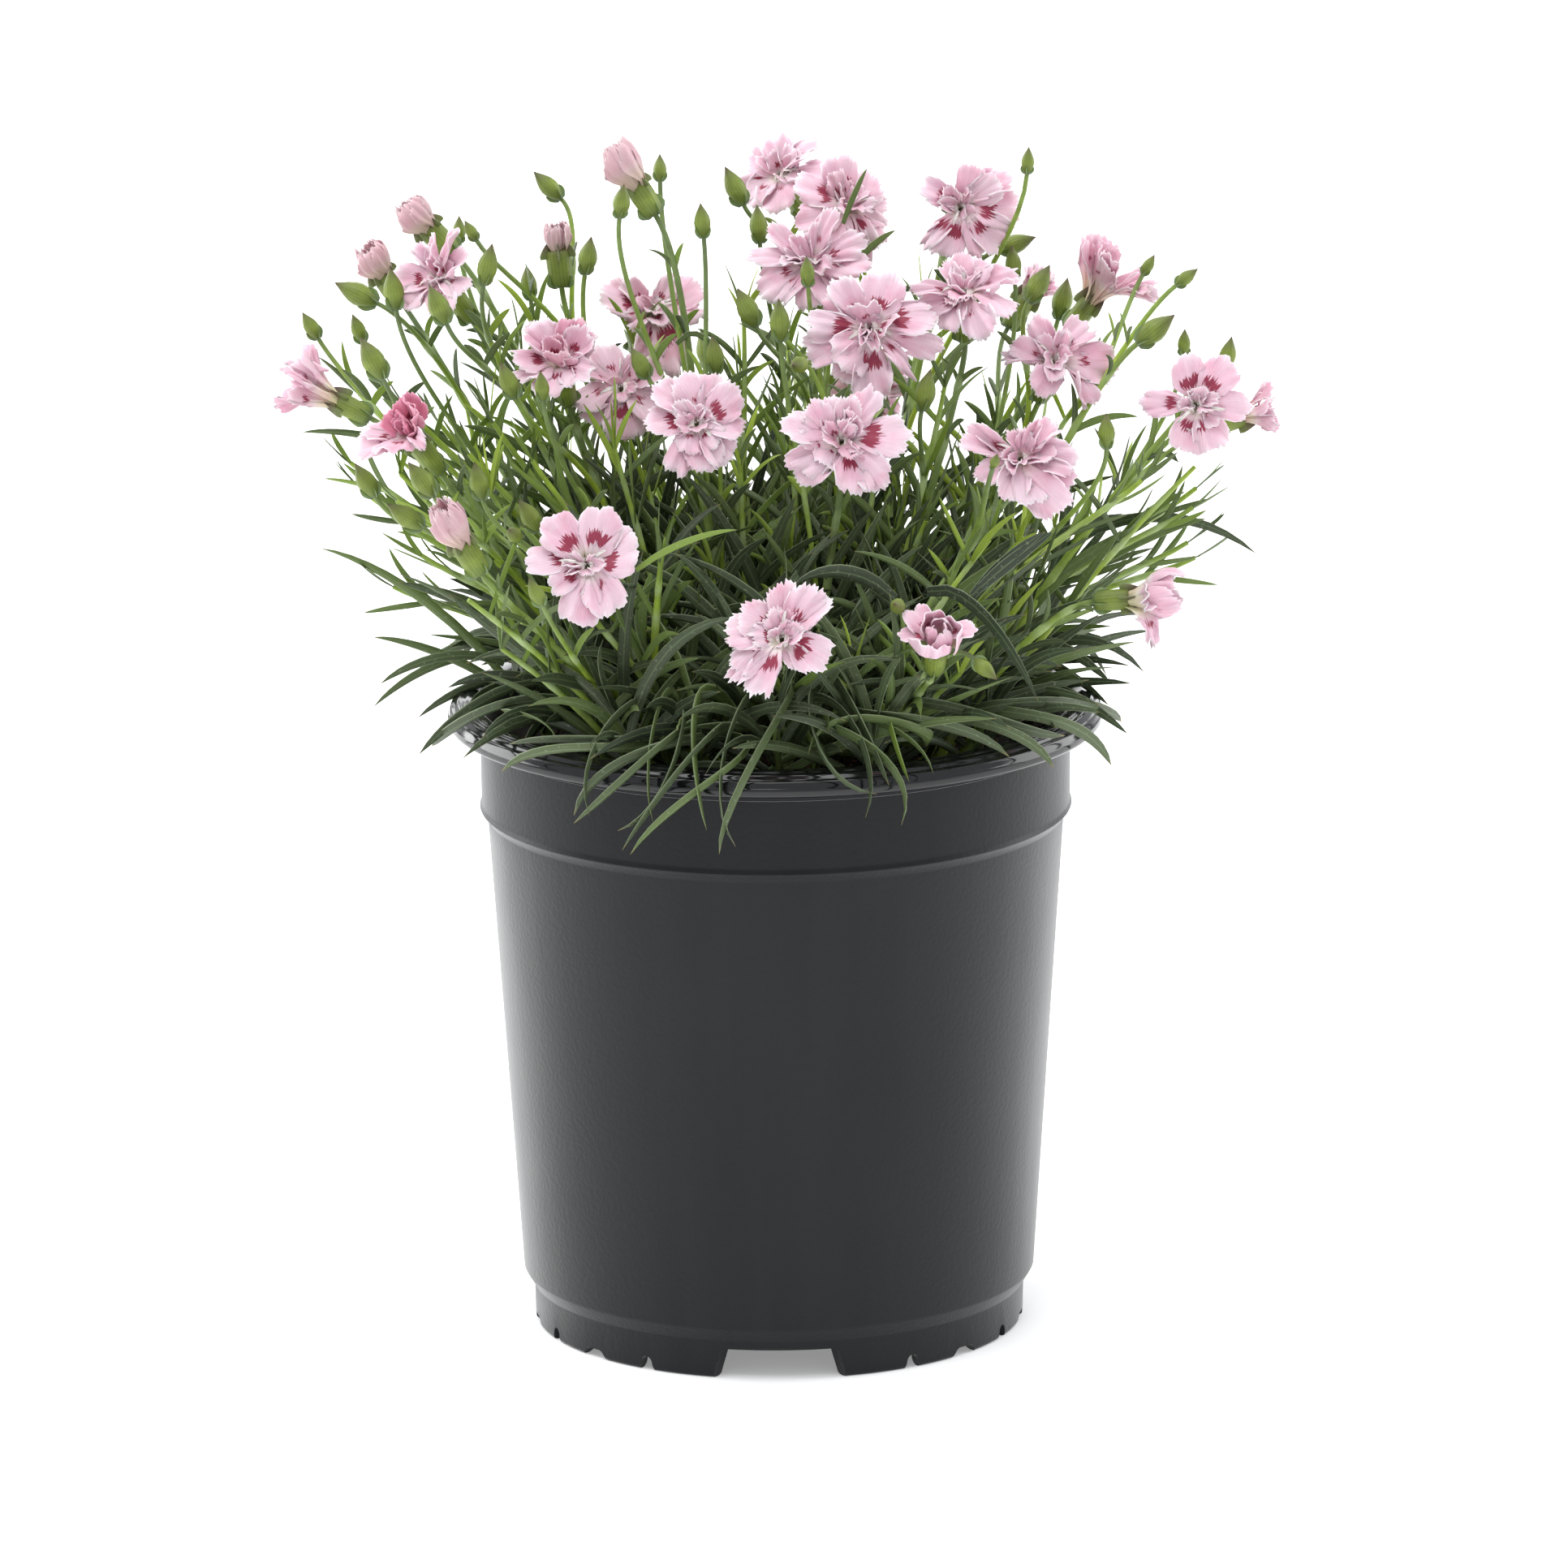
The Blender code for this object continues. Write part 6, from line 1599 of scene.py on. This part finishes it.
        (10, 8, 7, 50, -14, 30, 0.8), (80, 7, 5, 60, 6, 45, 0.9), (180, 9, 8, 30, -14, 10, 1.0),
    ),
    29: ((112, 11, 8.5, 20, -30, 20, 0.5), (180, 10, 6, 10, -20, 10, 0.9), (8, 10.5, 7.5, 20, -20, 20, 0.4)),
}
print("petals listed for", len(PETALS), "blooms:", sum(map(len, PETALS.values())))

# %% Choose the looks that the other blooms share
LOOKS = {  # petals, the range of their slopes, length and width as shares of the bloom's size, fold
    "trumpet": (10, (42, 80), (0.55, 0.75), (0.28, 0.42), 30),
    "open": (12, (-6, 40), (0.38, 0.56), (0.3, 0.42), 16),
}
PINKNESS = {
    1: 0.05, 4: 0.1, 5: 0.6, 7: 0.0, 8: 0.25, 16: 0.0, 17: 0.05, 22: 0.14, 23: 0.0, 24: 0.0, 25: 0.1, 26: 0.1,
    27: 0.05, 28: 0.0, 29: 0.3,
}
TEETH = {7: 0.12, 24: 0.14, 29: 0.08, 28: 0.5}
# extra pink on petals that stand in the throat: partly their own colour, partly painted pink light that the
# petals pass to one another in the shade there
THROAT_PAINTED_PINK = {"open": 0.45, "cup": 0.7, "trumpet": 0.4}
print("looks for", ", ".join(LOOKS))

# %% Shape the blooms
PETAL_THICKNESS = 0.25
LENGTH_GAIN = 1.06  # petals are listed as they look, foreshortened
WIDTH_GAIN = 1.12
GOLDEN_TURN = 137.5  # from petal to petal
# height, widest radius
TIP_SHAPE = {2: (10.0, 4.6), 3: (10.0, 4.8), 6: (13.2, 4.9), 9: (8.6, 3.5), 10: (13.0, 5.2)}
TIP_RADII = (0.5, 0.66, 0.84, 0.97, 1.0, 0.97, 0.74)
CLAW_SHARE = {"tip": 0.7, "trumpet": 0.5}  # how far up the calyx the petals start to show
DOUBLE = (14, 15, 16, 18, 20, 21, 26)


def rolled_over(sheet, angle):
    """A petal rolled about its own outward line."""
    angle = math.radians(angle)
    x, high = sheet[..., 0], sheet[..., 2]
    turned_x = x * math.cos(angle) + high * math.sin(angle)
    turned_high = high * math.cos(angle) - x * math.sin(angle)
    return np.stack((turned_x, sheet[..., 1], turned_high), axis=-1)


def petals_of(number, head, draw):
    """Every petal of a head in the flower's own frame: its sheet, turn, height, depth of pink and mark."""
    kind = head["kind"]
    pinkness = PINKNESS.get(number, draw.uniform(0.0, 0.12))
    sheets = []
    if kind == "tip":
        height, widest = TIP_SHAPE[number]
        for k in range(7):
            radii = [r * (1 - 0.15 * (k % 4)) * widest for r in TIP_RADII]
            sheet = rolled_petal(radii, height * draw.uniform(0.86, 1.0), 56, 0.16, 0.0, 0.05, draw)
            sheets.append((sheet, 103 * k, 0.0, 0.2 + 0.1 * (k % 3), -0.25))
        return sheets
    rows = PETALS.get(number)
    if rows is None:
        count, slopes, lengths, widths, fold = LOOKS[kind]
        rows = []
        for k in range(count):
            share = k / (count - 1)
            rows.append((
                GOLDEN_TURN * k, head["size"] * draw.uniform(*lengths), head["size"] * draw.uniform(*widths),
                slopes[0] + (slopes[1] - slopes[0]) * share, draw.uniform(-35, -5),
                fold * draw.uniform(0.2, 2.4), draw.uniform(0.1, 0.9),
            ))
    for k, (turn, length, width, lie, curl, fold, mark) in enumerate(rows):
        ruffle = draw.uniform(0.05, 0.115)
        # a petal that stands up has the bloom's own pink plus painted pink light for the shaded throat; a
        # spread petal is paler
        tint = pinkness + 0.25 * THROAT_PAINTED_PINK[kind] if lie > 40 else 0.3 * pinkness
        rise = max(72.0, lie + 6)
        claw = (0.15, 0.5) if number == 22 else (0.3, 0.65) if kind == "trumpet" else (0.05, 0.40)
        teeth = TEETH.get(number, 0.34) / length
        length, width = LENGTH_GAIN * length, WIDTH_GAIN * width
        sheet = spread_petal(length, width, rise, lie, curl, fold, ruffle, teeth, draw, claw)
        sheet = rolled_over(sheet, draw.uniform(-20, 20) + (25 if number == 27 else 0))
        sheets.append((sheet, turn + draw.uniform(-2, 2), 0.9 * k / len(rows), tint, 0.95 * mark))
    if kind == "open":
        more = 1.3 if number in DOUBLE else 1.0
        for k in range(5 if number in DOUBLE else 4):  # crumpled little petals that fill the throat
            sheet = spread_petal(
                more * draw.uniform(5, 7.5), more * draw.uniform(4.5, 6.5), 84, draw.uniform(30, 70),
                draw.uniform(-60, 10), draw.uniform(5, 35), 0.08, 0.04, draw,
            )
            sheet = rolled_over(sheet, draw.uniform(-25, 25))
            # the 0.12 added to the bloom's own pink is painted pink light in the shaded throat
            sheets.append((sheet, GOLDEN_TURN * k + draw.uniform(-30, 30), 1.0, pinkness + 0.12, 0.15))
        for k in range(2):  # the closed heart of the flower
            heart = rolled_petal((1.7, 2.3, 2.4, 1.6, -0.45), 4.8 - 0.9 * k, 112, 0.1, 0.0, 0.02, draw)
            sheets.append((heart, 180 * k, 0.0, 0.0, -1.0))
    if number == 27:  # half open: its petals still wrap one another
        for k in range(7):
            radii = [r * (1 - 0.1 * k) for r in (1.2, 1.7, 2.8, 5.2, 6.4, 6.2, 4.6)]
            sheet = rolled_petal(radii, 16.0 - 0.6 * k, 62, 0.22, 0.4, 0.03, draw)
            sheets.append((sheet, 60 + GOLDEN_TURN * k, 0.0, 0.04 * k, 0.1))
    if number == 29:  # a rolled cup
        for k in range(7):
            radius = 5.2 * (1 - 0.12 * k)
            closing = 0.95 if k < 3 else 0.3
            radii = [0.45 * radius + 0.4, 0.9 * radius, 1.1 * radius, 1.04 * radius, closing * radius]
            turn = 250 + (120 if k < 3 else GOLDEN_TURN) * k
            sheet = rolled_petal(radii, 8.2 + 0.4 * k, 72, 0.2, 0.3, 0.02, draw)
            sheets.append((sheet, turn, 0.3, 0.05 + 0.05 * k, 0.1))
    elif kind == "open":
        for k in range(2):  # the two white styles, curled like tendrils
            style = spread_petal(
                draw.uniform(8, 10.5), 0.5, 86, draw.uniform(20, 60), draw.uniform(-120, -60), 0, 0.0, 0.0,
                draw,
            )
            sheets.append((style, draw.uniform(0, 360), 1.0, 0.0, -1.0))
    return sheets


def bloom_piece(name, number, head, draw):
    """A flower in the mouth of its calyx: all its petals as one mesh, given their thickness."""
    axis = head["axis"]
    above = UP if abs(axis[2]) < 0.93 else np.array((0, 1.0, 0))
    other = unit(above - (above @ axis) * axis)
    side = np.cross(other, axis)
    claw_share = CLAW_SHARE.get(head["kind"], 1 - 1.2 / head["length"])
    foot = head["base"] + claw_share * head["length"] * axis
    neck = 0.0 if head["kind"] == "tip" else 0.2 * head["width"]
    points, faces, petal_values, marks = [], [], [], []
    u = np.tile(np.linspace(-1, 1, PETAL_COLUMNS), (PETAL_ROWS, 1))
    v = np.tile(np.linspace(0, 1, PETAL_ROWS)[:, None], (1, PETAL_COLUMNS))
    v = v ** (1.7 if head["kind"] in CLAW_SHARE else 1.0)
    for sheet, turn, lift, pinkness, mark in petals_of(number, head, draw):
        angle = math.radians(turn)
        outward = math.cos(angle) * side + math.sin(angle) * other
        sideways = math.sin(angle) * side - math.cos(angle) * other
        start = sum(len(part) for part in points)
        out = sheet[..., 1] + neck
        spots = foot + sheet[..., 0, None] * sideways + out[..., None] * outward
        spots = spots + (sheet[..., 2, None] + lift) * axis
        points.append(spots.reshape(-1, 3))
        for row in range(PETAL_ROWS - 1):
            for column in range(PETAL_COLUMNS - 1):
                a = start + row * PETAL_COLUMNS + column
                faces.append((a, a + 1, a + 1 + PETAL_COLUMNS, a + PETAL_COLUMNS))
        tint = draw.randrange(40) + min(0.95, max(0.0, pinkness + draw.uniform(-0.08, 0.08)))
        petal_values.append(np.stack((u, v, np.full_like(u, tint)), axis=-1).reshape(-1, 3))
        marks.append(np.full(u.size, mark))
    mesh = bpy.data.meshes.new(name)
    mesh.from_pydata(np.vstack(points) * MM, [], faces)
    carried = mesh.attributes.new("petal", "FLOAT_VECTOR", "POINT")
    carried.data.foreach_set("vector", np.vstack(petal_values).ravel())
    carried = mesh.attributes.new("mark", "FLOAT", "POINT")
    carried.data.foreach_set("value", np.concatenate(marks))
    mesh.materials.append(petal_finish)
    obj = object_of(name, mesh)
    wall = obj.modifiers.new("thickness", "SOLIDIFY")
    wall.thickness = PETAL_THICKNESS * MM
    wall.offset = 0.0
    bake(obj)
    obj.data.shade_smooth()
    return obj


draw = random.Random(5)
bloom_number = 0
bloom_faces = 0
for heads in sprays:
    for head in heads:
        if head["kind"] == "bud":
            continue
        bloom_number += 1
        node = f"petal_tip_{bloom_number:02d}" if head["kind"] == "tip" else f"bloom_{bloom_number:02d}"
        piece = bloom_piece(f"petals_{bloom_number:02d}", bloom_number, head, draw)
        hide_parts(node)
        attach(piece, "root")
        bloom_faces += len(piece.data.polygons)
print("blooms:", bloom_number, "with", bloom_faces, "faces")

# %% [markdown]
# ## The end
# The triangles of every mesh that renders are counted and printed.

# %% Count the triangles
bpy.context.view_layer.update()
shown = [thing for thing in bpy.data.objects if thing.type == "MESH" and not thing.hide_render]
triangles = sum(len(face.vertices) - 2 for thing in shown for face in thing.data.polygons)
print("triangles:", triangles)
